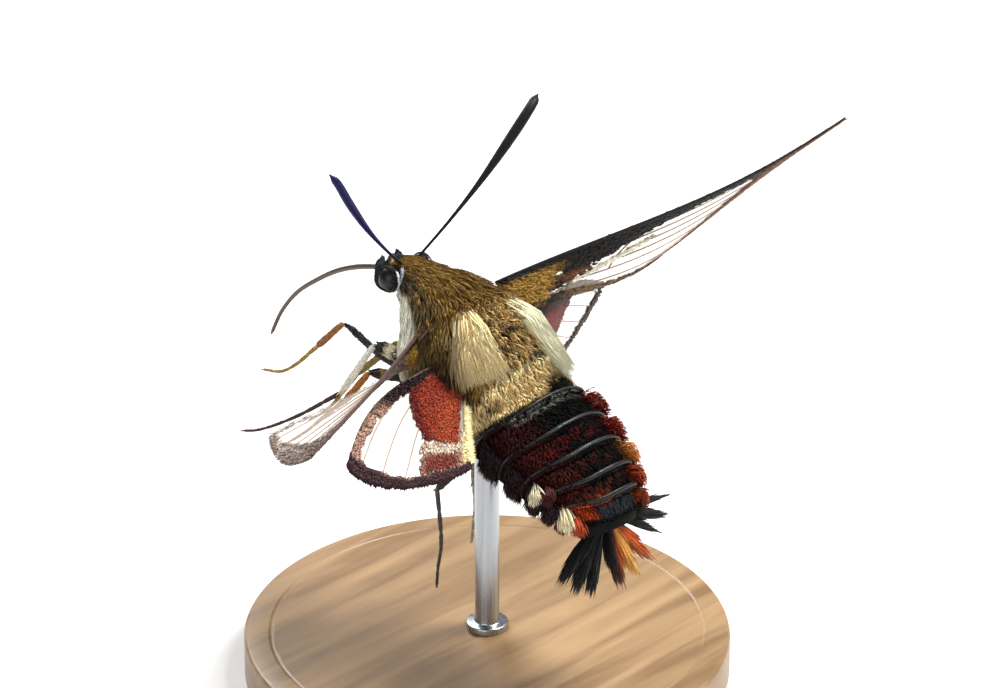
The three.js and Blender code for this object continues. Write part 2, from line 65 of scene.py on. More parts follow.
# Body outline: distance forward, height of the middle, half width, height over and under it
BODY = [
    [8.2, 0.95, 0.45, 0.4, 0.4],
    [7.75, 0.75, 1.1, 0.85, 0.8],
    [7.1, 0.7, 1.75, 1.35, 1.1],
    [6.2, 0.85, 1.85, 1.65, 1.1],
    [5.1, 0.95, 2.15, 2.3, 1.3],
    [3.5, 0.8, 3.2, 3.8, 2.3],
    [1.3, 0.35, 4.6, 4.9, 3.7],
    [-1.2, 0.15, 4.95, 4.85, 4.2],
    [-3.4, 0.35, 4.65, 4.2, 3.85],
    [-5.2, 0.5, 4.4, 3.65, 3.4],
    [-7.4, 0.7, 4.4, 3.4, 3.3],
    [-9.6, 0.95, 4.15, 3.2, 3.1],
    [-11.6, 1.05, 3.7, 2.9, 2.8],
    [-13.3, 0.8, 3.0, 2.4, 2.3],
    [-14.8, 0.2, 2.2, 1.75, 1.7],
    [-15.9, -0.7, 1.4, 1.1, 1.1],
]
NECK = 4.15
WAIST = 8.7
RINGS = [WAIST, 9.85, 10.85, 11.7, 12.45, 13.1, 13.7]
TAIL = RINGS[-1]
LAST_RING = len(RINGS) - 2

Array = np.ndarray


def to_model(points: Array) -> Array:
    """Moves points from the moth's frame in millimetres to the model's in metres.

    Args:
        points: Array whose last axis holds x, y and z.

    Returns:
        Array of the same shape.
    """
    c, s = math.cos(PITCH), math.sin(PITCH)
    x, y, z = points[..., 0], points[..., 1], points[..., 2]
    turned = np.stack([x, y * c - z * s, y * s + z * c], -1)
    return (turned + PLACE) * MILLIMETRE


def tint(code: str) -> Array:
    """Turns a hex colour into linear red, green and blue."""
    srgb = np.array([int(code[i:i + 2], 16) / 255 for i in (1, 3, 5)])
    return np.where(srgb <= 0.04045, srgb / 12.92, ((srgb + 0.055) / 1.055) ** 2.4)


def unit(vectors: Array) -> Array:
    """Scales vectors to length one."""
    return vectors / np.maximum(np.linalg.norm(vectors, axis=-1, keepdims=True), 1e-9)


def smooth(value: Array, low: float, high: float) -> Array:
    """Rises softly from 0 at low to 1 at high."""
    share = np.clip((value - low) / (high - low), 0, 1)
    return share * share * (3 - 2 * share)


def blend(a: Array, b: Array, share: Array) -> Array:
    """Mixes two colours, or arrays of colours, by a share for each row."""
    return a + (b - a) * np.asarray(share)[..., None]


def ripple(a: Array, b: Array, seed: float) -> Array:
    """A smooth irregular field from -1 to 1 over two coordinates."""
    first = np.sin(1.7 * a + 2.3 * np.sin(0.9 * b + seed) + seed)
    second = np.sin(2.9 * b - 1.3 * np.sin(1.9 * a - seed) + 2 * seed)
    third = np.sin(4.3 * a + 3.1 * b + 1.1 * seed)
    return 0.42 * first + 0.36 * second + 0.22 * third


def wrapped(degrees: Array, start: float = 90) -> Array:
    """Angles from a start, by default the back's middle line, between -180 and 180 degrees."""
    return (np.asarray(degrees) - start + 180) % 360 - 180


class Curve:
    """Centripetal Catmull-Rom curve through rows of numbers, kept as a table."""

    def __init__(self, rows: list, samples: int = 1201) -> None:
        """Samples the curve.

        Args:
            rows: The rows that the curve passes through.
            samples: Number of places in the table.
        """
        rows = np.array(rows, float)
        last = len(rows) - 1
        self.share = np.linspace(0, 1, samples)
        at = np.minimum((self.share * last).astype(int), last - 1)
        w = (self.share * last - at)[:, None]
        padded = np.vstack([2 * rows[0] - rows[1], rows, 2 * rows[-1] - rows[-2]])
        p0, p1, p2, p3 = (padded[at + k] for k in range(4))
        d0, d1, d2 = (np.linalg.norm(b - a, axis=1, keepdims=True) ** 0.5
                      for a, b in ((p0, p1), (p1, p2), (p2, p3)))
        t1 = ((p1 - p0) / d0 - (p2 - p0) / (d0 + d1) + (p2 - p1) / d1) * d1
        t2 = ((p2 - p1) / d1 - (p3 - p1) / (d1 + d2) + (p3 - p2) / d2) * d1
        self.rows = (p1 + t1 * w + (-3 * p1 + 3 * p2 - 2 * t1 - t2) * w ** 2
                     + (2 * p1 - 2 * p2 + t1 + t2) * w ** 3)
        steps = np.linalg.norm(np.diff(self.rows, axis=0), axis=1)
        self.way = np.concatenate([[0], np.cumsum(steps)])
        self.length = float(self.way[-1])

    def at(self, share: Array) -> Array:
        """Rows at shares of the curve's parameter."""
        return np.stack([np.interp(share, self.share, c) for c in self.rows.T], -1)

    def along(self, share: Array) -> Array:
        """Rows at shares of the curve's length."""
        return self.at(np.interp(np.asarray(share) * self.length, self.way, self.share))


class BodyForm:
    """The moth's outline as stations along it and angles round it."""

    def __init__(self) -> None:
        """Fits the outline through the stations."""
        rows = np.array(BODY)
        self.last = len(rows) - 1
        middle, girth = Curve(rows[:, :2]), Curve(rows[:, 2:])
        self.station = middle.share * self.last
        slope = unit(np.gradient(middle.rows, axis=0))
        self.table = np.hstack([middle.rows, slope, girth.rows])
        self.pace = np.interp(self.station, self.station,
                              np.gradient(middle.way, self.station))

    def read(self, station: Array) -> list[Array]:
        """Middle, slope and girth at stations, each as a list of columns."""
        return [np.interp(station, self.station, c) for c in self.table.T]

    def point(self, station: Array, degrees: Array, out: Array = 0.0) -> Array:
        """Points on the outline, moved outwards by a length.

        Args:
            station: Place along the body.
            degrees: Angle round it, 0 on the right side and 90 on the back.
            out: Millimetres out of the outline.

        Returns:
            Points in the moth's frame.
        """
        y, z, ty, tz, wide, over, under = self.read(station)
        angle = np.radians(degrees)
        rise = np.sin(angle)
        arm = np.where(rise < 0, under, over) + out
        return np.stack([(wide + out) * np.cos(angle), y + tz * arm * rise,
                         z - ty * arm * rise], -1)

    def outward(self, station: Array, degrees: Array) -> Array:
        """Unit vectors square to the outline."""
        step = 0.04
        along = self.point(station + step, degrees) - self.point(station - step, degrees)
        round_ = self.point(station, degrees + 2) - self.point(station, degrees - 2)
        return unit(np.cross(along, round_))

    def stations_of(self, station: Array, length: Array) -> Array:
        """Turns a length along the body into stations."""
        return length / np.interp(station, self.station, self.pace)


FORM = BodyForm()


# ---- Colours of the moth, as soft functions of the place on its body

OLIVE = tint("#6b4f1a")
OLIVE_DARK = tint("#36290c")
GOLD = tint("#977024")
TAN = tint("#c99a52")
CREAM = tint("#f2dfa4")
PALE = tint("#fbf2da")
SILVER = tint("#d3dae0")
SLATE = tint("#171c22")
MOSS = tint("#151a16")
BLACK = tint("#070606")
MAROON = tint("#2c0604")
CRIMSON = tint("#641007")
RED = tint("#962410")
ORANGE = tint("#c8581e")
AMBER = tint("#dba24c")
RUST = tint("#86340f")
PLUM = tint("#1c0b1d")
UMBER = tint("#2a1110")
FRINGE = tint("#8b8f84")
STEEL_GREY = tint("#2b3036")

EYE_PLACE = np.array([1.42, 6.7, 0.87])
EYE_RADIUS = np.array([0.78, 0.85, 0.88])


def eye_distance(points: Array) -> Array:
    """Distance of points from the nearer eye's middle, in eye radii."""
    folded = np.stack([np.abs(points[..., 0]), points[..., 1], points[..., 2]], -1)
    return np.linalg.norm((folded - EYE_PLACE) / EYE_RADIUS, axis=-1)


def spot(station: Array, degrees: Array, at: tuple, size: tuple) -> Array:
    """A soft oval mark: 1 in its middle and 0 outside.

    Args:
        station: Place along the body.
        degrees: Angle round it.
        at: Station and angle of the mark's middle.
        size: Its half length in stations and half width in degrees.

    Returns:
        The strength at each place.
    """
    turn = wrapped(degrees, at[1])
    far = ((station - at[0]) / size[0]) ** 2 + (turn / size[1]) ** 2
    return np.exp(-far * 1.2)


def marked(colour: Array, mark: Array, share: Array) -> Array:
    """Lays one colour over many by a share for each."""
    return blend(colour, np.broadcast_to(mark, colour.shape), np.clip(share, 0, 1))


def layered(colour: Array, *marks: tuple) -> Array:
    """Lays marks over colours one after another, each given as its colour and its share."""
    for mark, share in marks:
        colour = marked(colour, mark, share)
    return colour


def between(value: Array, low: float, high: float, soft: float) -> Array:
    """1 between two bounds and 0 outside them, with soft edges."""
    return smooth(value, low - soft, low + soft) * smooth(-value, -high - soft, soft - high)


def head_colour(station: Array, turn: Array, belly: Array) -> Array:
    """Colour of the head: olive crown, silver behind the eyes, slate face, pale throat."""
    side = np.abs(turn)
    grain = ripple(station * 7, side / 9, 1.0)
    colour = blend(OLIVE, GOLD, 0.4 + 0.5 * grain)
    colour = layered(
        colour,
        (OLIVE_DARK, 0.6 * smooth(side, 16, 40)),
        (MOSS, smooth(side, 42, 54) * (0.65 + 0.35 * grain)),
        (SLATE, smooth(-station, -1.8, -1.2) * smooth(side, -20, 8)),
        (TAN, 1.3 * spot(station, side, (0.95, 43), (0.5, 10))),
        (SLATE, smooth(side, 58, 70) * smooth(-station, -2.9, -2.3)),
        (PALE, smooth(side, 78, 88) * smooth(station, 3.1, 3.5)),
        (TAN, 0.8 * belly * smooth(-station, -3.3, -2.6)),
    )
    points = FORM.point(station, 90 - side, -0.15)
    near = eye_distance(points)
    behind = between(near, 1.02, 1.42, 0.06) * smooth(EYE_PLACE[1] - points[..., 1], 0.0, 0.3)
    return marked(colour, SILVER, 1.2 * behind * smooth(-side, -104, -92))


def thorax_colour(station: Array, turn: Array, belly: Array) -> Array:
    """Colour of the thorax: olive-gold in front, tan with black flecks behind, cream below."""
    side = np.abs(turn)
    grain = ripple(station * 4.5, side / 9, 2.0)
    fine = ripple(station * 11, turn / 4, 4.0)
    colour = blend(OLIVE, GOLD, 0.45 + 0.5 * grain)
    rear = smooth(station, 5.6, 6.7) * smooth(-side, -60, -38)
    flecks = smooth(ripple(station * 13, turn / 4.5, 8.0), 0.12, 0.34)
    flank = smooth(side, 40, 56) * smooth(-station, -6.6, -5.4)
    colour = layered(
        colour,
        (OLIVE_DARK, 0.75 * smooth(fine + 0.5 * grain, 0.0, 0.7)),
        (MOSS, flank * smooth(fine, -0.35, 0.15) * 0.9),
        (OLIVE_DARK, 0.6 * smooth(side, 50, 66) * smooth(station, 5.6, 6.6)),
        (blend(TAN, CREAM, 0.25 + 0.25 * grain), 0.9 * rear),
        (tint("#2b1c10"), 0.8 * rear * flecks),
    )
    for at, size in (((8.42, -9), (0.16, 10)), ((8.52, 27), (0.15, 7)), ((7.4, -2), (0.12, 9)),
                     ((7.95, 12), (0.09, 7)), ((6.75, 16), (0.1, 7))):
        colour = marked(colour, BLACK, 1.25 * spot(station, turn, at, size))
    colour = layered(
        colour,
        (CREAM, between(station, 8.56, 8.72, 0.04) * smooth(-side, -60, -48)),
        (UMBER, 0.7 * smooth(side, 56, 70) * smooth(station, 6.4, 7.4)),
    )
    neck = smooth(side, 69, 76) * smooth(-station, -6.4, -5.6)
    return marked(colour, PALE, np.maximum(0.85 * belly, neck))


# The abdomen's ring edges lean from this station on
LEAN_FROM = WAIST + 0.3


def lean(degrees: Array) -> Array:
    """How far forward the ring edges stand round the abdomen, most on the left side."""
    turn = wrapped(degrees)
    return 0.05 + 0.42 * smooth(turn, 20, 92) * smooth(-turn, -178, -115)


def ring_at(station: Array) -> tuple[Array, Array]:
    """Number of the abdomen ring at each station, and how far through the ring it lies."""
    ring = np.clip(np.searchsorted(RINGS, station, side="right") - 1, 0, LAST_RING)
    starts, ends = np.array(RINGS)[ring], np.array(RINGS)[ring + 1]
    return ring, (station - starts) / (ends - starts)


def abdomen_colour(station: Array, turn: Array, belly: Array) -> Array:
    """Colour of the abdomen: a tan ring, then black and maroon rings with bright right flanks."""
    side = np.abs(turn)
    leant = np.maximum(station + lean(turn + 90), LEAN_FROM)
    station = np.where(station > LEAN_FROM, leant, station)
    ring, share = ring_at(station)
    grain = ripple(station * 9, turn / 8, 3.0)
    fine = ripple(station * 14, turn / 4, 6.0)
    black = spot(station, turn, (9.42, -22), (0.26, 19)) * smooth(fine, -0.7, -0.1)
    brown = spot(station, turn, (9.2, 62), (0.26, 17)) * smooth(fine, -0.9, -0.4)
    tan = blend(TAN, CREAM, 0.55 + 0.45 * grain)
    tan = layered(
        tan,
        (ORANGE, 0.25 * smooth(fine, 0.2, 0.6)),
        (BLACK, 1.4 * black),
        (UMBER, 1.6 * brown),
        (UMBER, 0.8 * smooth(side, 82, 96)),
    )
    patch = 0.3 * between(turn, -44, -6, 8) * smooth(grain, -0.7, -0.1)
    tan = marked(tan, BLACK, smooth(share, 0.78 - patch, 0.86 - patch))
    dark = marked(np.broadcast_to(BLACK, tan.shape), MAROON, smooth(turn, 18, 46))
    patch = np.array([0.0, 0.1, 0.7, 0.15, 0.25, 0.0])[ring]
    patch = patch * between(share, 0.12, 0.62, 0.12) * between(turn, -24, 62, 16)
    hairs = (ring == 1) * smooth(-share, -0.3, -0.08) * between(turn, -38, 50, 8)
    bright = np.array([CRIMSON, CRIMSON, RED, AMBER, ORANGE, ORANGE])[ring]
    glow = np.array([MAROON, MAROON, CRIMSON, RUST, RUST, RUST])[ring]
    dark = layered(
        dark,
        (glow, 0.75 * patch * smooth(grain, -0.4, 0.4)),
        (FRINGE, 0.8 * hairs * smooth(fine, -0.4, 0.1)),
        (STEEL_GREY, np.where(ring == LAST_RING, 0.8, 0.0) * smooth(-side, -46, -34)),
        (ORANGE, 0.9 * spot(station, turn, (13.02, 24), (0.16, 12))),
        (bright, between(turn, -96, -40, 6) * smooth(fine, -0.8, 0.0)),
        (blend(RED, ORANGE, 0.4), 0.8 * (ring == LAST_RING) * smooth(turn, 36, 50)),
        (BLACK, smooth(share, 0.82, 0.93)),
        (MAROON, 0.8 * belly),
    )
    return np.where((ring == 0)[..., None], tan, dark)


def body_colour(station: Array, degrees: Array) -> Array:
    """Colour of skin and fur at places on the body.

    Args:
        station: Place along the body.
        degrees: Angle round it.

    Returns:
        Linear colours, one for each place.
    """
    turn = wrapped(degrees)
    belly = smooth(np.abs(turn), 96, 122)
    colour = head_colour(station, turn, belly)
    colour = blend(colour, thorax_colour(station, turn, belly), smooth(station, 3.9, 4.4))
    rear = abdomen_colour(station, turn, belly)
    return np.where((np.asarray(station) > WAIST)[..., None], rear, colour)


# ---- Finishes

class Slot(Enum):
    """Material slots of the record."""

    OLIVE = "fur_olive"
    TAN = "fur_tan"
    MAROON = "fur_maroon"
    RUST = "fur_rust"
    BLACK = "fur_black"
    EYE = "eye"
    FEELER = "feeler_horn"
    TONGUE = "tongue_horn"
    LEG = "leg_scales"
    FOOT = "foot_horn"
    FILM = "wing_film"
    WOOD = "stand_wood"
    STEEL = "stand_steel"


MARK = "Marking"


@dataclass(frozen=True)
class Coat:
    """Finish of fur, scales and skin, coloured by the mesh's own attribute."""

    name: str
    roughness: float = 0.6
    sheen: float = 0.25
    gloss: float = 0.35
    grain: float = 9000.0
    spread: float = 0.25
    bump: float = 0.25

    def make(self) -> bpy.types.Material:
        """Builds the material."""
        material, tree, shader = blank(self.name)
        mark = tree.nodes.new("ShaderNodeAttribute")
        mark.attribute_name = MARK
        noise = noise_node(tree, self.grain, 3.0)
        shade = ramp_node(tree, noise.outputs["Fac"], 1 - self.spread, 1 + self.spread)
        mixed = tree.nodes.new("ShaderNodeVectorMath")
        mixed.operation = "MULTIPLY"
        tree.links.new(mark.outputs["Color"], mixed.inputs[0])
        tree.links.new(shade.outputs["Result"], mixed.inputs[1])
        tree.links.new(mixed.outputs["Vector"], shader.inputs["Base Color"])
        rough = ramp_node(tree, noise.outputs["Fac"], self.roughness - 0.1, self.roughness + 0.1)
        tree.links.new(rough.outputs["Result"], shader.inputs["Roughness"])
        set_inputs(shader, {"Sheen Weight": self.sheen, "Sheen Roughness": 0.4,
                            "Specular IOR Level": self.gloss})
        bump_node(tree, shader, noise.outputs["Fac"], self.bump, 0.00004)
        return material


@dataclass(frozen=True)
class Film:
    """Clear wing membrane."""

    name: str
    colour: str
    alpha: float

    def make(self) -> bpy.types.Material:
        """Builds the material."""
        material, tree, shader = blank(self.name)
        noise = noise_node(tree, 900.0, 2.0)
        two_tones(tree, shader, noise, tint(self.colour), tint(self.colour) * 0.8)
        set_inputs(shader, {"Roughness": 0.22, "Alpha": self.alpha, "Specular IOR Level": 0.6})
        bump_node(tree, shader, noise.outputs["Fac"], 0.3, 0.00008)
        return material


@dataclass(frozen=True)
class Horn:
    """Shiny dark shell of eyes, feelers, tongue and claws."""

    name: str
    roughness: float
    coat: float
    grain: float
    bump: float
    gloss: float = 0.5

    def make(self) -> bpy.types.Material:
        """Builds the material."""
        material, tree, shader = blank(self.name)
        mark = tree.nodes.new("ShaderNodeAttribute")
        mark.attribute_name = MARK
        tree.links.new(mark.outputs["Color"], shader.inputs["Base Color"])
        cells = tree.nodes.new("ShaderNodeTexVoronoi")
        cells.inputs["Scale"].default_value = self.grain
        place = tree.nodes.new("ShaderNodeTexCoord")
        tree.links.new(place.outputs["Object"], cells.inputs["Vector"])
        rough = ramp_node(tree, cells.outputs["Distance"], self.roughness, self.roughness + 0.12)
        tree.links.new(rough.outputs["Result"], shader.inputs["Roughness"])
        set_inputs(shader, {"Specular IOR Level": self.gloss, "Coat Weight": self.coat,
                            "Coat Roughness": 0.06})
        bump_node(tree, shader, cells.outputs["Distance"], self.bump, 0.00003)
        return material


@dataclass(frozen=True)
class Wood:
    """Pale turned wood of the stand's disc."""

    name: str = "turned_maple"

    def make(self) -> bpy.types.Material:
        """Builds the material."""
        material, tree, shader = blank(self.name)
        stops = ((0.35, tint("#7d5f3c")), (0.68, tint("#a2825a")))
        noise = drawn_noise(tree, shader, (60, 600, 300), stops, 6.0, 0.6)
        rough = ramp_node(tree, noise.outputs["Fac"], 0.35, 0.6)
        tree.links.new(rough.outputs["Result"], shader.inputs["Roughness"])
        set_inputs(shader, {"Coat Weight": 0.2, "Coat Roughness": 0.2})
        bump_node(tree, shader, noise.outputs["Fac"], 0.25, 0.0001)
        return material


@dataclass(frozen=True)
class Steel:
    """Drawn steel of the rod."""

    name: str = "drawn_steel"

    def make(self) -> bpy.types.Material:
        """Builds the material."""
        material, tree, shader = blank(self.name)
        stops = ((0.0, (0.28, 0.29, 0.31)), (1.0, (0.5, 0.51, 0.53)))
        noise = drawn_noise(tree, shader, (4000, 4000, 120), stops)
        shader.inputs["Metallic"].default_value = 1.0
        rough = ramp_node(tree, noise.outputs["Fac"], 0.2, 0.38)
        tree.links.new(rough.outputs["Result"], shader.inputs["Roughness"])
        return material


def blank(name: str) -> tuple:
    """A new material with its node tree and its one shader."""
    material = bpy.data.materials.new(name)
    material.use_nodes = True
    tree = material.node_tree
    shader = tree.nodes["Principled BSDF"]
    return material, tree, shader


def set_inputs(node: bpy.types.Node, values: dict) -> None:
    """Sets a node's inputs by name."""
    for name, value in values.items():
        node.inputs[name].default_value = value


def noise_node(tree: bpy.types.NodeTree, scale: float, detail: float) -> bpy.types.Node:
    """A noise texture on object coordinates."""
    place = tree.nodes.new("ShaderNodeTexCoord")
    noise = tree.nodes.new("ShaderNodeTexNoise")
    set_inputs(noise, {"Scale": scale, "Detail": detail})
    tree.links.new(place.outputs["Object"], noise.inputs["Vector"])
    return noise


def two_tones(tree: bpy.types.NodeTree, shader: bpy.types.Node, noise: bpy.types.Node,
              low: tuple, high: tuple) -> None:
    """Colours a shader between two tones by a noise."""
    tone = tree.nodes.new("ShaderNodeMixRGB")
    tone.inputs[1].default_value = (*low, 1)
    tone.inputs[2].default_value = (*high, 1)
    tree.links.new(noise.outputs["Fac"], tone.inputs[0])
    tree.links.new(tone.outputs[0], shader.inputs["Base Color"])


def drawn_noise(tree: bpy.types.NodeTree, shader: bpy.types.Node, scale: tuple, stops: tuple,
                detail: float = 2.0, warp: float = 0.0) -> bpy.types.Node:
    """Noise drawn out along an axis, which colours a shader.

    Args:
        tree: The material's nodes.
        shader: The shader that takes the colour.
        scale: Fineness along each axis.
        stops: Two pairs of a height of the noise and its colour.
        detail: Octaves of the noise.
        warp: How far it is distorted.

    Returns:
        The noise.
    """
    place, scaled, noise, ramp = (tree.nodes.new(f"ShaderNode{kind}")
                                  for kind in ("TexCoord", "Mapping", "TexNoise", "ValToRGB"))
    set_inputs(scaled, {"Scale": scale})
    set_inputs(noise, {"Scale": 1.0, "Detail": detail, "Distortion": warp})
    for element, (height, colour) in zip(ramp.color_ramp.elements, stops):
        element.position, element.color = height, (*colour, 1)
    tree.links.new(place.outputs["Object"], scaled.inputs["Vector"])
    tree.links.new(scaled.outputs["Vector"], noise.inputs["Vector"])
    tree.links.new(noise.outputs["Fac"], ramp.inputs["Fac"])
    tree.links.new(ramp.outputs["Color"], shader.inputs["Base Color"])
    return noise


def ramp_node(tree: bpy.types.NodeTree, source: bpy.types.NodeSocket, low: float,
              high: float) -> bpy.types.Node:
    """A map range from the middle of a texture to a pair of values."""
    node = tree.nodes.new("ShaderNodeMapRange")
    set_inputs(node, {"From Min": 0.25, "From Max": 0.75, "To Min": low, "To Max": high})
    tree.links.new(source, node.inputs["Value"])
    return node


def bump_node(tree: bpy.types.NodeTree, shader: bpy.types.Node, source: bpy.types.NodeSocket,
              strength: float, distance: float) -> None:
    """Adds a bump to a shader.

    Args:
        tree: The material's nodes.
        shader: The shader that takes the bump.
        source: The height.
        strength: How strong it is.
        distance: Depth in metres.
    """
    node = tree.nodes.new("ShaderNodeBump")
    set_inputs(node, {"Strength": strength, "Distance": distance})
    tree.links.new(source, node.inputs["Height"])
    tree.links.new(node.outputs["Normal"], shader.inputs["Normal"])


class Finishes:
    """Every material of the model, made once."""

    def __init__(self) -> None:
        """Makes the materials."""
        self.fur = Coat("thorax_fur", 0.62, 0.06, 0.22).make()
        self.scales = Coat("abdomen_scales", 0.55, 0.0, 0.12).make()
        self.skin = Coat("skin", 0.75, 0.0, 0.15, 14000.0, 0.35, 0.6).make()
        self.leg = Coat("leg_scales", 0.5, 0.0, 0.3, 12000.0, 0.3, 0.3).make()
        self.wing_scales = Coat("wing_scales", 0.55, 0.0, 0.25, 12000.0, 0.3, 0.3).make()
        self.eye = Horn("eye_glass", 0.22, 0.06, 14000.0, 0.15, 0.3).make()
        self.feeler = Horn("feeler_horn", 0.45, 0.0, 9000.0, 0.25, 0.25).make()
        self.tongue = Horn("tongue_horn", 0.3, 0.3, 8000.0, 0.2).make()
        self.rim = Horn("ring_edge", 0.4, 0.06, 9000.0, 0.6, 0.35).make()
        self.film = Film("wing_film", "#d8cabd", 0.24).make()
        self.wood = Wood().make()
        self.steel = Steel().make()


# ---- Meshes from arrays

# On the baking map: side of a tuft's patch, free edge, and width that the body's map takes
PATCH_SIZE = 0.003
MAP_EDGE, MAP_SPAN = 0.01, 0.97


def mesh_object(name: str, points: Array, faces: Array, colours: Array,
                patches: Array, material: bpy.types.Material) -> bpy.types.Object:
    """Makes an object from arrays of triangles.

    Args:
        name: The piece's name.
        points: Corners in the model's frame, in metres.
        faces: Triples of corner numbers.
        colours: A linear colour for each corner.
        patches: A place on the baking map for each corner.
        material: The finish.

    Returns:
        The new object, linked into the scene.
    """
    mesh = bpy.data.meshes.new(name)
    mesh.vertices.add(len(points))
    mesh.vertices.foreach_set("co", points.astype(np.float32).ravel())
    mesh.loops.add(faces.size)
    mesh.loops.foreach_set("vertex_index", faces.astype(np.int32).ravel())
    mesh.polygons.add(len(faces))
    mesh.polygons.foreach_set("loop_start", np.arange(0, faces.size, 3, dtype=np.int32))
    mesh.polygons.foreach_set("use_smooth", np.ones(len(faces), bool))
    mesh.update(calc_edges=True)
    attribute = mesh.color_attributes.new(MARK, "FLOAT_COLOR", "POINT")
    full = np.ones((len(points), 4), np.float32)
    full[:, :3] = np.clip(colours, 0, 1)
    attribute.data.foreach_set("color", full.ravel())
    layer = mesh.uv_layers.new(name="OFBake")
    layer.data.foreach_set("uv", patches[faces.ravel()].astype(np.float32).ravel())
    mesh.materials.append(material)
    obj = bpy.data.objects.new(name, mesh)
    bpy.context.scene.collection.objects.link(obj)
    return obj


@dataclass
class Tufts:
    """Many tapered tufts, each three-sided, gathered into joined meshes."""

    parts: list = field(default_factory=list)

    def add(self, spine: Array, out: Array, half: Array, deep: Array, colour: Array,
            patch: Array) -> None:
        """Adds tufts, given row by row from root to tip.

        Args:
            spine: Middles of the rows, in the moth's frame.
            out: Vectors out of the surface at each row.
            half: Half widths at each row.
            deep: Heights of the ridge at each row.
            colour: Colours at each row.
            patch: Place of each root on the skin's unwrap.
        """
        self.parts.append((spine, out, half, deep, colour, patch))

    def mesh(self, name: str, material: bpy.types.Material, slot: Slot) -> bpy.types.Object:
        """Joins the tufts into one mesh object."""
        spine, out, half, deep, colour, patch = (np.concatenate(c) for c in zip(*self.parts))
        count, rows = spine.shape[:2]
        way = unit(np.gradient(spine, axis=1))
        across = unit(np.cross(way, out))
        out = np.cross(across, way)
        rings = np.stack([spine + across * half[..., None], spine + out * deep[..., None],
                          spine - across * half[..., None]], 2)
        body = rings[:, :-1].reshape(count, -1, 3)
        corners = np.concatenate([body, spine[:, -1:]], 1)
        shades = np.concatenate([np.repeat(colour[:, :-1], 3, 1), colour[:, -1:]], 1)
        faces = [(0, 2, 1)]
        for row in range(rows - 2):
            for k in range(3):
                a, b = 3 * row + k, 3 * row + (k + 1) % 3
                faces += [(a, b, b + 3), (a, b + 3, a + 3)]
        top = 3 * (rows - 2)
        faces += [(top + k, top + (k + 1) % 3, top + 3) for k in range(3)]
        each = corners.shape[1]
        index = np.array(faces)[None] + (np.arange(count) * each)[:, None, None]
        u = np.concatenate([np.tile([0.0, 0.5, 1.0], rows - 1), [0.5]])
        v = np.concatenate([np.repeat(np.arange(rows - 1), 3), [rows - 1]]) / (rows - 1)
        places = patch[:, None, :] + np.stack([u, v], -1)[None] * PATCH_SIZE
        LOG.info("%s: %d tufts, %d triangles", name, count, count * len(faces))
        return mesh_object(name, to_model(corners.reshape(-1, 3)), index.reshape(-1, 3),
                           shades.reshape(-1, 3), np.clip(places.reshape(-1, 2), 0, 1),
                           material)


def taper(rows: int) -> Array:
    """Width of a tuft at each row, from a narrow root over a full middle to its tip."""
    t = np.linspace(0, 1, rows)
    return np.minimum(1, 0.45 + 2.2 * t) * np.sqrt(np.maximum(1 - t ** 2.2, 0))


def widths(half: Array, spread: tuple, rows: int, count: int,
           draw: np.random.Generator) -> Array:
    """Half widths of tufts at each row, with each tuft a little wider or narrower.

    Args:
        half: Mean half width.
        spread: Least and greatest share of it.
        rows: Rows in a tuft.
        count: Number of tufts.
        draw: Seeded random numbers.

    Returns:
        One row of half widths for each tuft.
    """
    return half * taper(rows)[None] * draw.uniform(*spread, count)[:, None]


def toned(colour: Array, ends: tuple, rows: int, spread: float,
          draw: np.random.Generator) -> Array:
    """Colours of tufts at each row, darker at the root, with each tuft a little lighter or darker.

    Args:
        colour: One colour for each tuft.
        ends: Brightness at the root and at the tip.
        rows: Rows in a tuft.
        spread: How much the tufts differ.
        draw: Seeded random numbers.

    Returns:
        One row of colours for each tuft.
    """
    ramp = np.linspace(*ends, rows)[None, :, None]
    return colour[:, None] * ramp * draw.lognormal(0, spread, len(colour))[:, None, None]


def sleeve(rows: int, around: int) -> Array:
    """Triangles of rings joined into a closed tube, whose end middles are its last two corners."""
    row, k = np.meshgrid(np.arange(rows - 1), np.arange(around), indexing="ij")
    a, b = (row * around + k).ravel(), (row * around + (k + 1) % around).ravel()
    k = np.arange(around)
    beside, end = (k + 1) % around, (rows - 1) * around
    middle = np.full(around, rows * around)
    return np.concatenate([
        np.stack([a, b, b + around], -1), np.stack([a, b + around, a + around], -1),
        np.stack([middle, beside, k], -1), np.stack([end + k, end + beside, middle + 1], -1)])


def unwrap(station: Array, degrees: Array) -> Array:
    """Place on the baking map of a place on the body."""
    share = np.stack([station / FORM.last, (degrees % 360) / 360], -1)
    return MAP_EDGE + MAP_SPAN * share


# ---- Skin and coat of the body

@dataclass
class Zone:
    """A stretch of coat: where it grows and how."""

    name: str
    start: float
    end: float
    count: int
    slot: Slot
    seed: int
    scaly: bool = False


# Height of the step at a ring's rear edge, and how far the skin under its coat is darkened as
# painted shade
RING_STEP = 0.2
SKIN_PAINTED_SHADE = 0.55

# Along the body: station, depth of the coat, length of a tuft, its half width, its lift
COAT_TABLE = np.array([
    [0.0, 0.16, 0.30, 0.050, 0.12],
    [1.5, 0.24, 0.42, 0.055, 0.16],
    [2.6, 0.30, 0.62, 0.060, 0.25],
    [3.8, 0.40, 0.95, 0.060, 0.44],
    [4.6, 0.62, 1.40, 0.060, 0.78],
    [6.0, 0.75, 1.70, 0.063, 1.05],
    [8.0, 0.75, 1.60, 0.063, 1.02],
    [8.69, 0.62, 1.20, 0.063, 0.80],
    [8.71, 0.40, 0.80, 0.066, 0.42],
    [9.8, 0.34, 0.62, 0.072, 0.34],
    [10.5, 0.28, 0.48, 0.072, 0.26],
    [14.0, 0.24, 0.42, 0.067, 0.22],
])


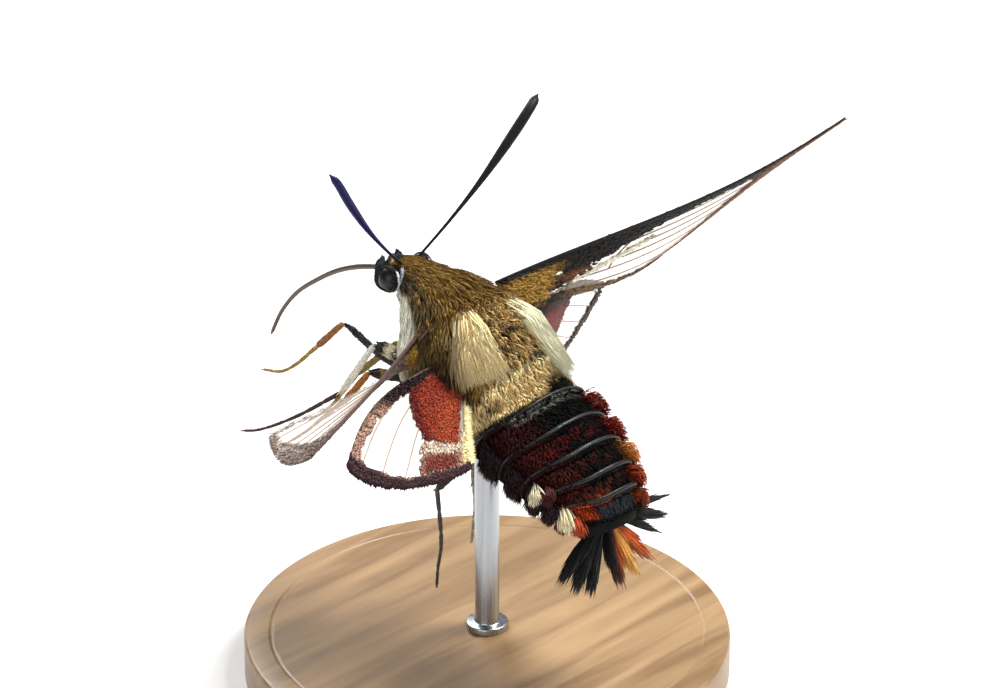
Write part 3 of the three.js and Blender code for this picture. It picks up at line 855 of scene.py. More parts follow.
class Torso:
    """Skin of head, thorax and abdomen in one surface, and the coat on it."""

    flesh = ["head", "thorax", *(f"abdomen_{k}" for k in range(1, 7))]
    zones = [
        Zone("coat_head", 0.05, NECK, 9000, Slot.OLIVE, 3),
        Zone("coat_thorax_front", NECK, 6.4, 10000, Slot.OLIVE, 5),
        Zone("coat_thorax_rear", 6.4, WAIST, 10000, Slot.OLIVE, 7),
        Zone("coat_abdomen_front", WAIST, 10.85, 9000, Slot.TAN, 9, True),
        Zone("coat_abdomen_rear", 10.85, TAIL, 9000, Slot.MAROON, 11, True),
    ]

    def depth(self, station: Array) -> Array:
        """How far the skin lies inside the outline."""
        return np.interp(station, COAT_TABLE[:, 0], COAT_TABLE[:, 1])

    def rim(self, station: Array, degrees: Array) -> Array:
        """Height of the step at the rear edge of each abdomen ring."""
        station = np.where(station > LEAN_FROM, station + lean(degrees), station)
        share = np.clip(ring_at(station)[1], 0, 1)
        return np.where(station > WAIST, RING_STEP * (share ** 2 - 0.4), 0.0)

    def skin(self, finishes: Finishes) -> bpy.types.Object:
        """One closed surface from the mouth to the tail."""
        inner = np.linspace(0, TAIL + 0.25, 260)
        edges = np.concatenate([[r - 0.012, r + 0.012] for r in RINGS[1:-1]])
        stations = np.sort(np.concatenate([inner, edges]))
        around = 144
        degrees = np.arange(around) * 360 / around
        s, a = np.meshgrid(stations, degrees, indexing="ij")
        rings = FORM.point(s, a, self.rim(s, a) - self.depth(s))
        nose = FORM.point(np.array([0.0]), np.array([90.0]), -0.45)
        nose[0, 1] += 0.12
        tail = FORM.point(np.array([TAIL + 0.25]), np.array([90.0]), -1.9)
        corners = np.concatenate([rings.reshape(-1, 3), nose, tail])
        # The skin takes the coat's colours darkened, as painted shade under the coat.
        colours = np.concatenate([body_colour(s, a).reshape(-1, 3) * SKIN_PAINTED_SHADE,
                                  np.stack([SLATE, BLACK])])
        ends = [[MAP_EDGE, 0.5], [1 - MAP_EDGE, 0.5]]
        places = np.concatenate([unwrap(s, a).reshape(-1, 2), ends])
        obj = mesh_object("body_skin", to_model(corners), sleeve(len(stations), around), colours,
                          places, finishes.skin)
        outward(obj)
        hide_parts(*self.flesh)
        return obj

    def roots(self, zone: Zone, draw: np.random.Generator) -> tuple[Array, Array]:
        """Places spread evenly over the area of a zone, none on the eyes.

        Args:
            zone: The stretch of coat.
            draw: Seeded random numbers.

        Returns:
            Stations and angles.
        """
        s = draw.uniform(zone.start, zone.end, zone.count * 5)
        a = draw.uniform(0, 360, zone.count * 5)
        here = FORM.point(s, a)
        long = np.linalg.norm(FORM.point(s + 0.02, a) - here, axis=1)
        wide = np.linalg.norm(FORM.point(s, a + 1) - here, axis=1)
        area = long * wide
        if zone.name == "coat_head":
            area = area * (1 + 0.8 * smooth(-s, -3.2, -2.4))
        keep = draw.uniform(0, np.quantile(area, 0.995), len(s)) < area
        keep &= eye_distance(FORM.point(s, a, -0.25)) > 1.12
        keep &= (a < 225) | (a > 315) | (draw.uniform(0, 1, len(s)) < 0.6)
        s, a = s[keep][:zone.count], a[keep][:zone.count]
        return s, a

    def coat(self, zone: Zone, finishes: Finishes) -> bpy.types.Object:
        """The tufts of one zone, lying back along the body."""
        draw = np.random.default_rng(zone.seed)
        s, a = self.roots(zone, draw)
        count, rows = len(s), 4
        depth, length, half, lift = (np.interp(s, COAT_TABLE[:, 0], c) for c in COAT_TABLE[:, 1:].T)
        here = FORM.point(s, a, -0.2)
        length = length * draw.uniform(0.72, 1.18, count)
        length = length * (0.4 + 0.6 * smooth(eye_distance(here), 1.15, 2.2))
        if zone.scaly:
            ahead = lean(a)
            ring = np.clip(np.searchsorted(RINGS, s + ahead, side="right"), 1, 6)
            ends = np.array(RINGS)[ring] - ahead
            room = (ends - s) / FORM.stations_of(s, np.ones(count))
            length = np.minimum(length, room + draw.uniform(0.02, 0.2, count))
        clump = ripple(s * 6, a / 7, 5.0)
        t = np.linspace(0, 1, rows)[None]
        back = FORM.stations_of(s, length)[:, None] * t * (1 - 0.12 * t)
        turn = wrapped(a)
        fall = np.clip(turn / 60, -1, 1) * np.where(np.abs(turn) < 120, 1, 0)
        drift = (5.0 * fall + 5.0 * clump + draw.normal(0, 4.0, count)) * (length / 1.6)
        angle = a[:, None] + drift[:, None] * t ** 1.3
        station = np.minimum(s[:, None] + back, FORM.last)
        rise = lift * (1 + 0.28 * clump) * draw.uniform(0.55, 1.12, count)
        rise = rise * (1 - 0.4 * smooth(np.abs(turn), 60, 85))
        height = rise[:, None] * np.sin(t * math.pi / 2 * 1.12)
        out = self.rim(s, a)[:, None] - depth[:, None] - 0.04 + height
        spine = FORM.point(station, angle, out)
        normal = FORM.outward(station, angle)
        width = widths(half[:, None], (0.75, 1.2), rows, count, draw)
        shade = draw.lognormal(0, 0.2, count)[:, None, None]
        tip = 0.62 + 0.62 * t[..., None]
        colour = body_colour(station, angle) * shade * tip
        tufts = Tufts()
        tufts.add(spine, normal, width, width * 0.45, colour, unwrap(s, a))
        material = finishes.scales if zone.scaly else finishes.fur
        return tufts.mesh(zone.name, material, zone.slot)

    def rims(self, finishes: Finishes) -> bpy.types.Object:
        """The smooth dark bands along each ring's rear edge, as closed rounded hoops."""
        around, section = 180, 10
        degrees = np.arange(around) * 360 / around
        turn = np.arange(section) * 2 * math.pi / section
        points, faces = [], []
        for number, station in enumerate(RINGS[1:-1]):
            s = station - 0.07 + FORM.stations_of(np.array([station]), np.cos(turn) * 0.11)
            grid, a = np.meshgrid(s, degrees, indexing="ij")
            height = 0.06 + np.sin(turn)[:, None] * 0.07 + 0.02 * ripple(a / 9, grid, 2.0)
            height = height - 0.2 * smooth(np.abs(a - 75), 42, 66)
            points.append(FORM.point(grid - lean(a), a, height).reshape(-1, 3))
            i, j = np.meshgrid(np.arange(section), np.arange(around), indexing="ij")
            ahead, beside = (i + 1) % section, (j + 1) % around
            corners = (i * around + j, ahead * around + j, ahead * around + beside,
                       i * around + beside)
            a_, b_, c_, d_ = (c.ravel() + number * section * around for c in corners)
            faces += [np.stack([a_, b_, c_], -1), np.stack([a_, c_, d_], -1)]
        points = np.concatenate(points)
        colours = np.broadcast_to(tint("#07090c"), points.shape)
        places = np.clip(0.5 + points[:, :2] / 40, 0, 1)
        obj = mesh_object("abdomen_rims", to_model(points), np.concatenate(faces), colours, places,
                          finishes.rim)
        outward(obj)
        return obj

    def build(self, finishes: Finishes) -> list[bpy.types.Object]:
        """Builds the skin, the abdomen's rims and every zone of coat."""
        coats = [self.coat(zone, finishes) for zone in self.zones]
        return [self.skin(finishes), self.rims(finishes), *coats]


def outward(obj: bpy.types.Object) -> None:
    """Turns an object's faces outwards."""
    work = bmesh.new()
    work.from_mesh(obj.data)
    bmesh.ops.recalc_face_normals(work, faces=work.faces)
    work.to_mesh(obj.data)
    work.free()


# ---- Long tufts over the shoulders, on the flanks and at the tail

class Sheaves:
    """Long hair: shoulder tufts, side tufts of the abdomen and the tail fan."""

    def shoulders(self, finishes: Finishes) -> bpy.types.Object:
        """Pale sheaves that lie back over the wing roots."""
        draw = np.random.default_rng(21)
        tufts, rows, count = Tufts(), 5, 1900
        # Each side: angles of the roots and of the tips, stations of the roots and of the tips
        table = {1: ((56, 75), (40, 64), (5.5, 6.2), (9.1, 9.75)),
                 -1: ((63, 70), (27, 65), (5.3, 5.8), (8.1, 8.85))}
        for side, (roots, tips, begins, ends) in table.items():
            share = draw.uniform(0, 1, count)
            root = np.interp(share, [0, 1], roots) + draw.normal(0, 1.5, count)
            tip = np.interp(share, [0, 1], tips) + draw.normal(0, 2.5, count)
            start = draw.uniform(*begins, count)
            reach = draw.uniform(0.5, 1.0, count)
            end = start + (np.interp(share, [0, 1], ends) - start) * reach
            tip = root + (tip - root) * reach
            t = np.linspace(0, 1, rows)[None]
            station = start[:, None] + (end - start)[:, None] * t
            angle = root[:, None] + (tip - root)[:, None] * t ** (0.8 if side > 0 else 1.15)
            angle = angle + 3.0 * ripple(station * 2, share[:, None] * 14, 3.0) * t
            lift = draw.uniform(0.1, 0.75, count)[:, None]
            out = -0.65 + (0.75 + lift) * np.sin(t * math.pi / 2) ** 0.8
            degrees = angle if side > 0 else 180 - angle
            spine, normal = FORM.point(station, degrees, out), FORM.outward(station, degrees)
            half = widths(0.075, (0.7, 1.25), rows, count, draw)
            # The right sheaves are gold-cream, paler and brighter than the left's olive-gold and
            # tan: partly their own cream, partly a painted highlight on the lit right side.
            front = blend(OLIVE, GOLD, share) if side < 0 else blend(GOLD, CREAM, 0.3 + 0.3 * share)
            rear = blend(TAN, CREAM, draw.uniform(0.3 if side < 0 else 0.7, 1, count))
            rear = marked(rear, PALE, 0.1 if side < 0 else 0.5) * (1.12 if side < 0 else 1.3)
            low = smooth(-share, -0.3, -0.05) if side < 0 else 0 * share
            streak = smooth(ripple(share * 30, start * 3, 6.0), 0.2, 0.6)
            streak = streak * (0.4 if side < 0 else 0.05)
            rear = layered(rear, (OLIVE_DARK, 0.6 * low), (OLIVE, streak))
            colour = front[:, None] + (rear - front)[:, None] * smooth(t, 0.05, 0.38)[..., None]
            colour = colour * draw.lognormal(0, 0.14, count)[:, None, None]
            tufts.add(spine, normal, half, half * 0.5, colour, unwrap(start, degrees[:, 0]))
        return tufts.mesh("shoulder_tufts", finishes.fur, Slot.OLIVE)

    def flanks(self, finishes: Finishes) -> bpy.types.Object:
        """Tufts along both sides of the abdomen, fullest at each ring's rear edge."""
        draw = np.random.default_rng(22)
        tufts, rows, each = Tufts(), 5, 540
        bright = [None, (CRIMSON, RED), (CRIMSON, RED), (AMBER, ORANGE), (ORANGE, RED),
                  (ORANGE, RUST)]
        for ring in range(1, 6):
            for side in (1, -1):
                low, high = (-40, 50) if side > 0 else (-42, 6)
                root = draw.uniform(low, high, each)
                span = RINGS[ring + 1] - RINGS[ring]
                start = RINGS[ring] + span * draw.uniform(0.05, 0.62, each)
                start = start - lean(root if side > 0 else 180 - root)
                length = draw.uniform(0.55, 1.1, each) * (1.0 - 0.25 * np.abs(root) / 45)
                t = np.linspace(0, 1, rows)[None]
                station = start[:, None] + FORM.stations_of(start, length)[:, None] * t
                station = np.minimum(station, FORM.last)
                angle = root[:, None] + draw.normal(0, 4, each)[:, None] * t
                lift = draw.uniform(0.25, 0.75, each)[:, None]
                if side > 0:
                    out = -0.4 + (0.5 + lift) * np.sin(t * 2.0)
                else:
                    out = -0.35 + (0.25 + lift) * t ** 1.2
                degrees = angle if side > 0 else 180 - angle
                spine = FORM.point(station, degrees, out)
                half = widths(0.07, (0.7, 1.2), rows, each, draw)
                colour = blend(*bright[ring], draw.uniform(0, 1, each))
                if side < 0:
                    colour = blend(PLUM, MAROON, draw.uniform(0, 1, each))
                    colour = marked(colour, RED, 0.8 * (ring == LAST_RING))
                colour = marked(colour, MAROON, 0.8 * smooth(-root, 4, 26))
                colour = toned(colour, (0.6, 1.1), rows, 0.2, draw)
                tufts.add(spine, FORM.outward(station, degrees), half, half * 0.5, colour,
                          unwrap(start, degrees[:, 0]))
        self.brushes(tufts, draw)
        return tufts.mesh("flank_tufts", finishes.fur, Slot.RUST)

    def brushes(self, tufts: Tufts, draw: np.random.Generator) -> None:
        """The left side's separate brushes: a small cream one, a large one, and rust behind it."""
        rows, count = 5, 170
        table = [(11.45, 178, 0.95, 7, (CREAM, PALE)), (12.5, 175, 1.55, 8, (CREAM, PALE)),
                 (12.95, 168, 1.2, 8, (ORANGE, RED)), (11.8, 166, 0.8, 8, (CRIMSON, PLUM))]
        for place, turn, long, wide, colours in table:
            start = place + draw.uniform(-0.12, 0.12, count)
            root = turn + draw.normal(0, wide / 2, count)
            length = long * draw.uniform(0.75, 1.15, count)
            t = np.linspace(0, 1, rows)[None]
            station = start[:, None] + FORM.stations_of(start, length)[:, None] * t
            station = np.minimum(station, FORM.last)
            degrees = root[:, None] + draw.normal(0, 2.5, count)[:, None] * t
            lift = draw.uniform(0.35, 0.95, count)[:, None] * (0.6 + 0.3 * long)
            spine = FORM.point(station, degrees, -0.3 + (0.3 + lift) * t)
            half = widths(0.08, (0.7, 1.2), rows, count, draw)
            colour = blend(*colours, draw.uniform(0, 1, count))
            colour = toned(colour, (0.65, 1.1), rows, 0.15, draw)
            tufts.add(spine, FORM.outward(station, degrees), half, half * 0.5, colour,
                      unwrap(start, root))

    def fan(self, finishes: Finishes) -> bpy.types.Object:
        """The tail's spread sheaves, black with an orange one in the middle."""
        draw = np.random.default_rng(23)
        tufts, rows = Tufts(), 6
        root = FORM.point(np.array([TAIL - 0.35]), np.array([0.0]))[0]
        root[0] = 0
        roll, drop = math.radians(20), math.radians(35)
        across = np.array([math.cos(roll), 0, math.sin(roll)])
        back = np.array([0, -math.cos(drop), -math.sin(drop)])
        thick = np.cross(back, across)
        sheaves = [(-66, -26, BLACK, BLACK), (-9, 36, RUST, ORANGE), (48, 74, BLACK, BLACK)]
        for low, high, first, second in sheaves:
            count = 620
            middle = (low + high) / 2
            aim = draw.uniform(low, high, count)
            aim = aim - 1.3 * np.sin(np.radians((aim - middle) * 24))
            tuck = np.clip(0.4 + 1.1 * np.linspace(0, 1, rows), 0, 1)[None]
            spread = np.radians(middle + (aim - middle)[:, None] * tuck)
            fingers = 0.84 + 0.17 * np.cos(np.radians((aim - middle) * 24))
            length = 5.2 * fingers * draw.uniform(0.72, 1.0, count)
            t = np.linspace(0.1, 1, rows)[None]
            way = across * np.sin(spread)[..., None] + back * np.cos(spread)[..., None]
            layer = draw.uniform(-1, 1, count)[:, None]
            height = layer * (0.62 - 0.3 * t) + 0.35 * layer * t * t
            spine = root + way * (length[:, None] * t)[..., None] + thick * height[..., None]
            half = widths(0.1, (0.7, 1.2), rows, count, draw)
            share = draw.uniform(0, 1, count) * (0.15 if first is BLACK else 1)
            colour = blend(first, second, share)
            if first is RUST:
                streak = np.exp(-((aim - 14) / 6) ** 2)
                colour = layered(colour, (AMBER, streak), (BLACK, smooth(-aim, -4, 5)))
            colour = toned(colour, (0.7, 1.05), rows, 0.18, draw)
            normal = np.broadcast_to(thick, spine.shape)
            place = np.stack([0.02 + 0.9 * (aim + 70) / 150, 0.5 + 0.4 * layer[:, 0]], -1)
            tufts.add(spine, normal, half, half * 0.5, colour, place)
        obj = tufts.mesh("tail_fan", finishes.fur, Slot.BLACK)
        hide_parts("tail_fan_left", "tail_fan_middle", "tail_fan_right")
        return obj

    def build(self, finishes: Finishes) -> list[bpy.types.Object]:
        """Builds every sheaf."""
        return [self.shoulders(finishes), self.flanks(finishes), self.fan(finishes)]


# ---- Tubes: feelers, tongue, palps and legs

@dataclass
class Tube:
    """A round tube along a curve, with rings that follow its radius."""

    path: Curve
    radius: Callable[[Array], Array]
    colour: Callable[[Array], Array]
    sides: int = 20
    steps: int = 80

    def frames(self) -> tuple[Array, Array, Array]:
        """Middles and two square vectors at each step, without twist."""
        t = np.linspace(0, 1, self.steps + 1)
        middle = self.path.along(t)
        way = unit(np.gradient(middle, axis=0))
        normal = np.zeros_like(middle)
        start = np.array([0.0, 0.0, 1.0]) if abs(way[0, 2]) < 0.9 else np.array([0.0, 1.0, 0.0])
        normal[0] = unit(start - way[0] * way[0].dot(start))
        for k in range(1, len(t)):
            side = normal[k - 1] - way[k] * way[k].dot(normal[k - 1])
            normal[k] = unit(side)
        return middle, normal, np.cross(way, normal)

    def arrays(self) -> tuple[Array, Array, Array, Array]:
        """Corners, faces, colours and unwrap of the closed tube."""
        middle, normal, side = self.frames()
        t = np.linspace(0, 1, self.steps + 1)
        radius = self.radius(t)[:, None, None]
        turn = np.arange(self.sides) * 2 * math.pi / self.sides
        ring = (normal[:, None] * np.cos(turn)[None, :, None]
                + side[:, None] * np.sin(turn)[None, :, None])
        corners = (middle[:, None] + ring * radius).reshape(-1, 3)
        corners = np.concatenate([corners, middle[:1], middle[-1:]])
        colour = self.colour(t)
        colours = np.concatenate([np.repeat(colour, self.sides, 0), colour[:1], colour[-1:]])
        u, v = np.meshgrid(t, np.arange(self.sides) / self.sides, indexing="ij")
        places = np.stack([0.02 + 0.96 * u, 0.02 + 0.94 * v], -1).reshape(-1, 2)
        places = np.concatenate([places, [[0.02, 0.5], [0.98, 0.5]]])
        return corners, sleeve(self.steps + 1, self.sides), colours, places

    def hair(self, tufts: Tufts, count: int, length: float, half: float, lift: float,
             draw: np.random.Generator, shade: float = 1.0) -> None:
        """Covers the tube with small scales that lie towards its tip.

        Args:
            tufts: Where the scales are gathered.
            count: How many.
            length: Their mean length.
            half: Their half width.
            lift: How far the tips stand off.
            draw: Seeded random numbers.
            shade: Brightness against the tube.
        """
        rows = 3
        middle, normal, side = self.frames()
        grid = np.linspace(0, 1, self.steps + 1)
        start = draw.uniform(0, 0.96, count)
        turn = draw.uniform(0, 2 * math.pi, count)
        long = length * draw.uniform(0.7, 1.25, count)
        t = np.linspace(0, 1, rows)[None]
        at = np.minimum(start[:, None] + long[:, None] / self.path.length * t, 1)

        def read(table: Array) -> Array:
            """Table rows at the places of the hair."""
            return np.stack([np.interp(at, grid, c) for c in table.T], -1)

        sweep = (turn + draw.normal(0, 0.3, count))[:, None] * t + turn[:, None] * (1 - t)
        out = unit(read(normal) * np.cos(sweep)[..., None] + read(side) * np.sin(sweep)[..., None])
        high = np.interp(at, grid, self.radius(grid)) * 0.9
        high = high + lift * draw.uniform(0.4, 1.1, count)[:, None] * t
        spine = read(middle) + out * high[..., None]
        over = np.maximum(start[:, None] + long[:, None] / self.path.length * t - 1, 0)
        way = unit(read(np.gradient(middle, axis=0)))
        spine = spine + way * (over * self.path.length)[..., None]
        width = widths(half, (0.7, 1.2), rows, count, draw)
        colour = toned(self.colour(start), (0.75, 1.1), rows, 0.2, draw) * shade
        place = np.stack([0.02 + 0.95 * start, 0.02 + 0.94 * turn / (2 * math.pi)], -1)
        tufts.add(spine, out, width, width * 0.45, colour, place)


def joined(name: str, tubes: list[Tube], material: bpy.types.Material) -> bpy.types.Object:
    """Joins several tubes into one object."""
    points, faces, colours, places, count = [], [], [], [], 0
    for tube in tubes:
        corner, face, colour, place = tube.arrays()
        points.append(corner)
        faces.append(face + count)
        colours.append(colour)
        places.append(place)
        count += len(corner)
    return mesh_object(name, to_model(np.concatenate(points)), np.concatenate(faces),
                       np.concatenate(colours), np.concatenate(places), material)


def flat_colour(colour: Array) -> Callable[[Array], Array]:
    """A colour that is the same all the way along."""
    return lambda t: np.broadcast_to(colour, (*np.shape(t), 3))


class Head:
    """Eyes, palps, tongue and feelers."""

    palp_path = [[0.75, 6.9, -0.55], [0.85, 7.45, -0.6], [0.85, 7.8, -0.1], [0.8, 8.15, 0.45],
                 [0.7, 8.3, 0.75]]
    tongue_path = [
        [0, 7.5, 0.3], [0, 8.25, -0.45], [0, 9.5, -1.85], [0, 10.4, -3.1], [0, 11.1, -4.3],
        [0, 11.9, -6.1], [0, 12.7, -8.4], [0, 13.0, -10.8], [0, 12.8, -13.2],
    ]
    feeler_base = np.array([0.8, 6.9, 1.9])
    feeler_length = 12.6
    feelers = {
        -1: ([0.635, 0.26, 0.7], [0.6, -0.5, 0.1], [0.25, 0.3, 0.1]),
        1: ([0.72, 0.255, 0.7], [-0.35, -0.5, 0.1], [0.6, 0.3, -0.1]),
    }

    def eye(self, side: int, finishes: Finishes) -> bpy.types.Object:
        """One dark eyeball with a faint brown band."""
        name = "eye_right_ball" if side > 0 else "eye_left_ball"
        bpy.ops.object.select_all(action="DESELECT")
        bpy.ops.mesh.primitive_uv_sphere_add(segments=64, ring_count=40, radius=1)
        obj = bpy.context.active_object
        obj.name = name
        mesh = obj.data
        corners = np.empty(len(mesh.vertices) * 3)
        mesh.vertices.foreach_get("co", corners)
        ball = corners.reshape(-1, 3)
        ball = np.stack([ball[:, 2], ball[:, 0], ball[:, 1]], -1)
        centre = EYE_PLACE * [side, 1, 1]
        points = to_model(centre + ball * EYE_RADIUS)
        mesh.vertices.foreach_set("co", points.astype(np.float32).ravel())
        attribute = mesh.color_attributes.new(MARK, "FLOAT_COLOR", "POINT")
        outer = ball[:, 0] * side
        colour = blend(tint("#16100f"), tint("#060506"), smooth(outer, 0.1, 0.8))
        band = np.exp(-((ball[:, 2] + 0.25) / 0.22) ** 2) * smooth(outer, 0.0, 0.5)
        colour = marked(colour, tint("#1c1411"), 0.7 * band)
        full = np.concatenate([colour, np.ones((len(colour), 1))], 1)
        attribute.data.foreach_set("color", full.astype(np.float32).ravel())
        mesh.uv_layers[0].name = "OFBake"
        mesh.materials.append(finishes.eye)
        bpy.ops.object.shade_smooth()
        outward(obj)
        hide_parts("eye_right" if side > 0 else "eye_left")
        return obj

    def lashes(self, finishes: Finishes) -> bpy.types.Object:
        """Scales round the eyes: dark ones over their front, a silver crescent behind."""
        draw = np.random.default_rng(33)
        tufts, rows, count = Tufts(), 4, 1000
        t = np.linspace(0, 1, rows)[None]
        for side in (1, -1):
            turn = draw.uniform(-math.pi, math.pi, count)
            ahead = smooth(np.cos(turn + 0.35), -0.62, -0.2)
            first = np.radians(94 - 4 * ahead) * np.ones(count)
            under = smooth(np.cos(turn + 1.18), -0.1, 0.6)
            last = np.radians(draw.uniform(76, 84, count) - ahead * draw.uniform(6, 16, count)
                              - under * draw.uniform(24, 38, count))
            slope = first[:, None] + (last - first)[:, None] * t
            swing = (turn + draw.normal(0, 0.12, count))[:, None] * t + turn[:, None] * (1 - t)
            way = np.stack([np.cos(slope) * side, np.sin(slope) * np.cos(swing),
                            np.sin(slope) * np.sin(swing)], -1)
            high = 1.02 + 0.06 * draw.uniform(0.2, 1, count)[:, None] * t
            spine = EYE_PLACE * [side, 1, 1] + way * EYE_RADIUS * high[..., None]
            half = widths(0.05, (0.7, 1.2), rows, count, draw)
            colour = blend(SILVER, tint("#0e1116"), smooth(ahead, 0.0, 0.3))
            colour = toned(colour, (1, 1), rows, 0.2, draw)
            place = np.stack([0.5 + 0.3 * side * np.cos(turn) / 2, 0.5 + 0.3 * np.sin(turn)], -1)
            tufts.add(spine, way, half, half * 0.4, colour, place)
        return tufts.mesh("eye_lashes", finishes.fur, Slot.OLIVE)

    def palps(self, finishes: Finishes) -> list[bpy.types.Object]:
        """Short brushes that turn up in front of the face."""
        draw = np.random.default_rng(31)
        pieces = []
        for name, side in (("palpus_left", -1), ("palpus_right", 1)):
            path = Curve([[x * side, y, z] for x, y, z in self.palp_path])
            tube = Tube(
                path, lambda t: 0.36 * np.sqrt(np.maximum(1.02 - t ** 6, 0)) * (1 - 0.05 * t),
                lambda t: blend(UMBER, SLATE, smooth(t, 0.1, 0.3)))
            core = joined(f"{name}_core", [tube], finishes.skin)
            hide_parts(name)
            tufts = Tufts()
            tube.hair(tufts, 1300, 0.32, 0.045, 0.12, draw, 1.25)
            pieces += [core, tufts.mesh(f"{name}_scales", finishes.fur, Slot.OLIVE)]
        return pieces

    def tongue(self, finishes: Finishes) -> bpy.types.Object:
        """The tongue, finely ringed and slightly thinner to its end."""
        def radius(t: Array) -> Array:
            """Radius with a fine ripple of rings."""
            tip = np.minimum(1, 30 * (1.004 - t)) ** 0.5
            return (0.2 - 0.07 * t) * (1 + 0.04 * np.sin(t * 420)) * tip

        tube = Tube(Curve(self.tongue_path), radius,
                    lambda t: blend(tint("#2a1a12"), tint("#4a3020"), 0.5 + 0.5 * np.sin(t * 420)),
                    16, 420)
        obj = joined("tongue", [tube], finishes.tongue)
        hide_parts("proboscis")
        return obj

    def feeler_colour(self, side: int) -> Callable[[Array], Array]:
        """Black with a painted violet-blue sheen on the left feeler and a painted green sheen on
        the right.
        """
        # The sheen is painted into the base colour: violet-blue on the left feeler, green on the
        # right.
        sheen = tint("#0b0450") if side < 0 else tint("#030a08")

        def colour(t: Array) -> Array:
            """Colour along the feeler."""
            share = smooth(t, 0.05, 0.4) * (0.75 + 0.25 * np.sin(t * 340))
            return blend(tint("#030306"), sheen, share)

        return colour

    def feeler(self, side: int, finishes: Finishes) -> bpy.types.Object:
        """One clubbed feeler of many short joints with a hooked tip."""
        name = "antenna_right" if side > 0 else "antenna_left"
        aim, bow, hook = (np.array(v) for v in self.feelers[side])
        reach = aim * self.feeler_length
        stops = [self.feeler_base + reach * t + bow * math.sin(math.pi * t)
                 for t in (-0.08, 0.25, 0.5, 0.75, 0.93)]
        stops.append(self.feeler_base + reach * 0.97 + hook)

        def radius(t: Array) -> Array:
            """Thin at the base, thickest four fifths out, with a groove at each joint."""
            swell = np.exp(-((t - 0.82) / 0.34) ** 2)
            wide = 0.27 if side > 0 else 0.2
            thick = (0.09 + wide * swell) * (1 - 0.75 * smooth(t, 0.94, 1.0) ** 2)
            return thick * (1 - 0.05 * np.cos(t * 340) ** 8)

        path = Curve([p * [side, 1, 1] for p in stops])
        tube = Tube(path, radius, self.feeler_colour(side), 18, 400)
        obj = joined(f"{name}_shaft", [tube], finishes.feeler)
        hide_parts(name)
        return obj

    def build(self, finishes: Finishes) -> list[bpy.types.Object]:
        """Builds the head's separate pieces."""
        pieces = [self.eye(side, finishes) for side in (1, -1)]
        pieces.append(self.lashes(finishes))
        pieces += self.palps(finishes)
        pieces.append(self.tongue(finishes))
        pieces += [self.feeler(side, finishes) for side in (1, -1)]
        return pieces


# ---- Wings

@dataclass(frozen=True)
class WingKind:
    """Outline, veins and markings that both wings of a pair share."""

    length: float
    bow: float
    hollow: float
    bulge: float
    camber: float
    corner: tuple
    veins: tuple
    cell: tuple


CELL_END = 0.45
FORE = WingKind(26.0, 0.35, 0.7, 1.6, 0.5, (12.6, 8.7),
                ((0.09, 0), (0.22, 0), (0.36, CELL_END), (0.5, CELL_END), (0.63, CELL_END),
                 (0.76, 0), (0.9, 0)), (0.22, 0.76))
HIND = WingKind(11.1, 1.3, 0.2, 2.35, 0.4, (0.0, 6.4),
                ((0.14, 0), (0.34, 0), (0.54, CELL_END), (0.72, 0), (0.88, 0)), (0.34, 0.72))

# Scales on one face of a wing at most, and in the fringes of its outer and inner edges
MOST_SCALES = 4300
OUTER_FRINGE, INNER_FRINGE = 900, 700

# Both ends of the root chord, direction of the leading edge and of the chord, and how far the
# wing sags between root and tip
WINGS = {
    "forewing_right": ([3.2, 2.4, 3.3], [3.3, 0.3, 3.0],
                       [0.873, -0.172, 0.457], [0.5, 0.0, -0.86], 0.9),
    "forewing_left": ([-3.4, 2.0, 1.6], [-3.6, 0.5, 1.4],
                      [-0.855, -0.337, 0.41], [-0.15, 0.38, -0.89], 0),
    "hindwing_right": ([3.4, -0.5, 2.0], [3.4, -2.6, 1.9],
                       [0.973, 0.12, -0.2], [0.7, 0.08, -0.71], 0),
    "hindwing_left": ([-3.4, -0.6, 2.1], [-3.4, -2.6, 2.0],
                      [-0.955, -0.27, -0.1], [-0.62, -0.78, 0.03], 0),
}


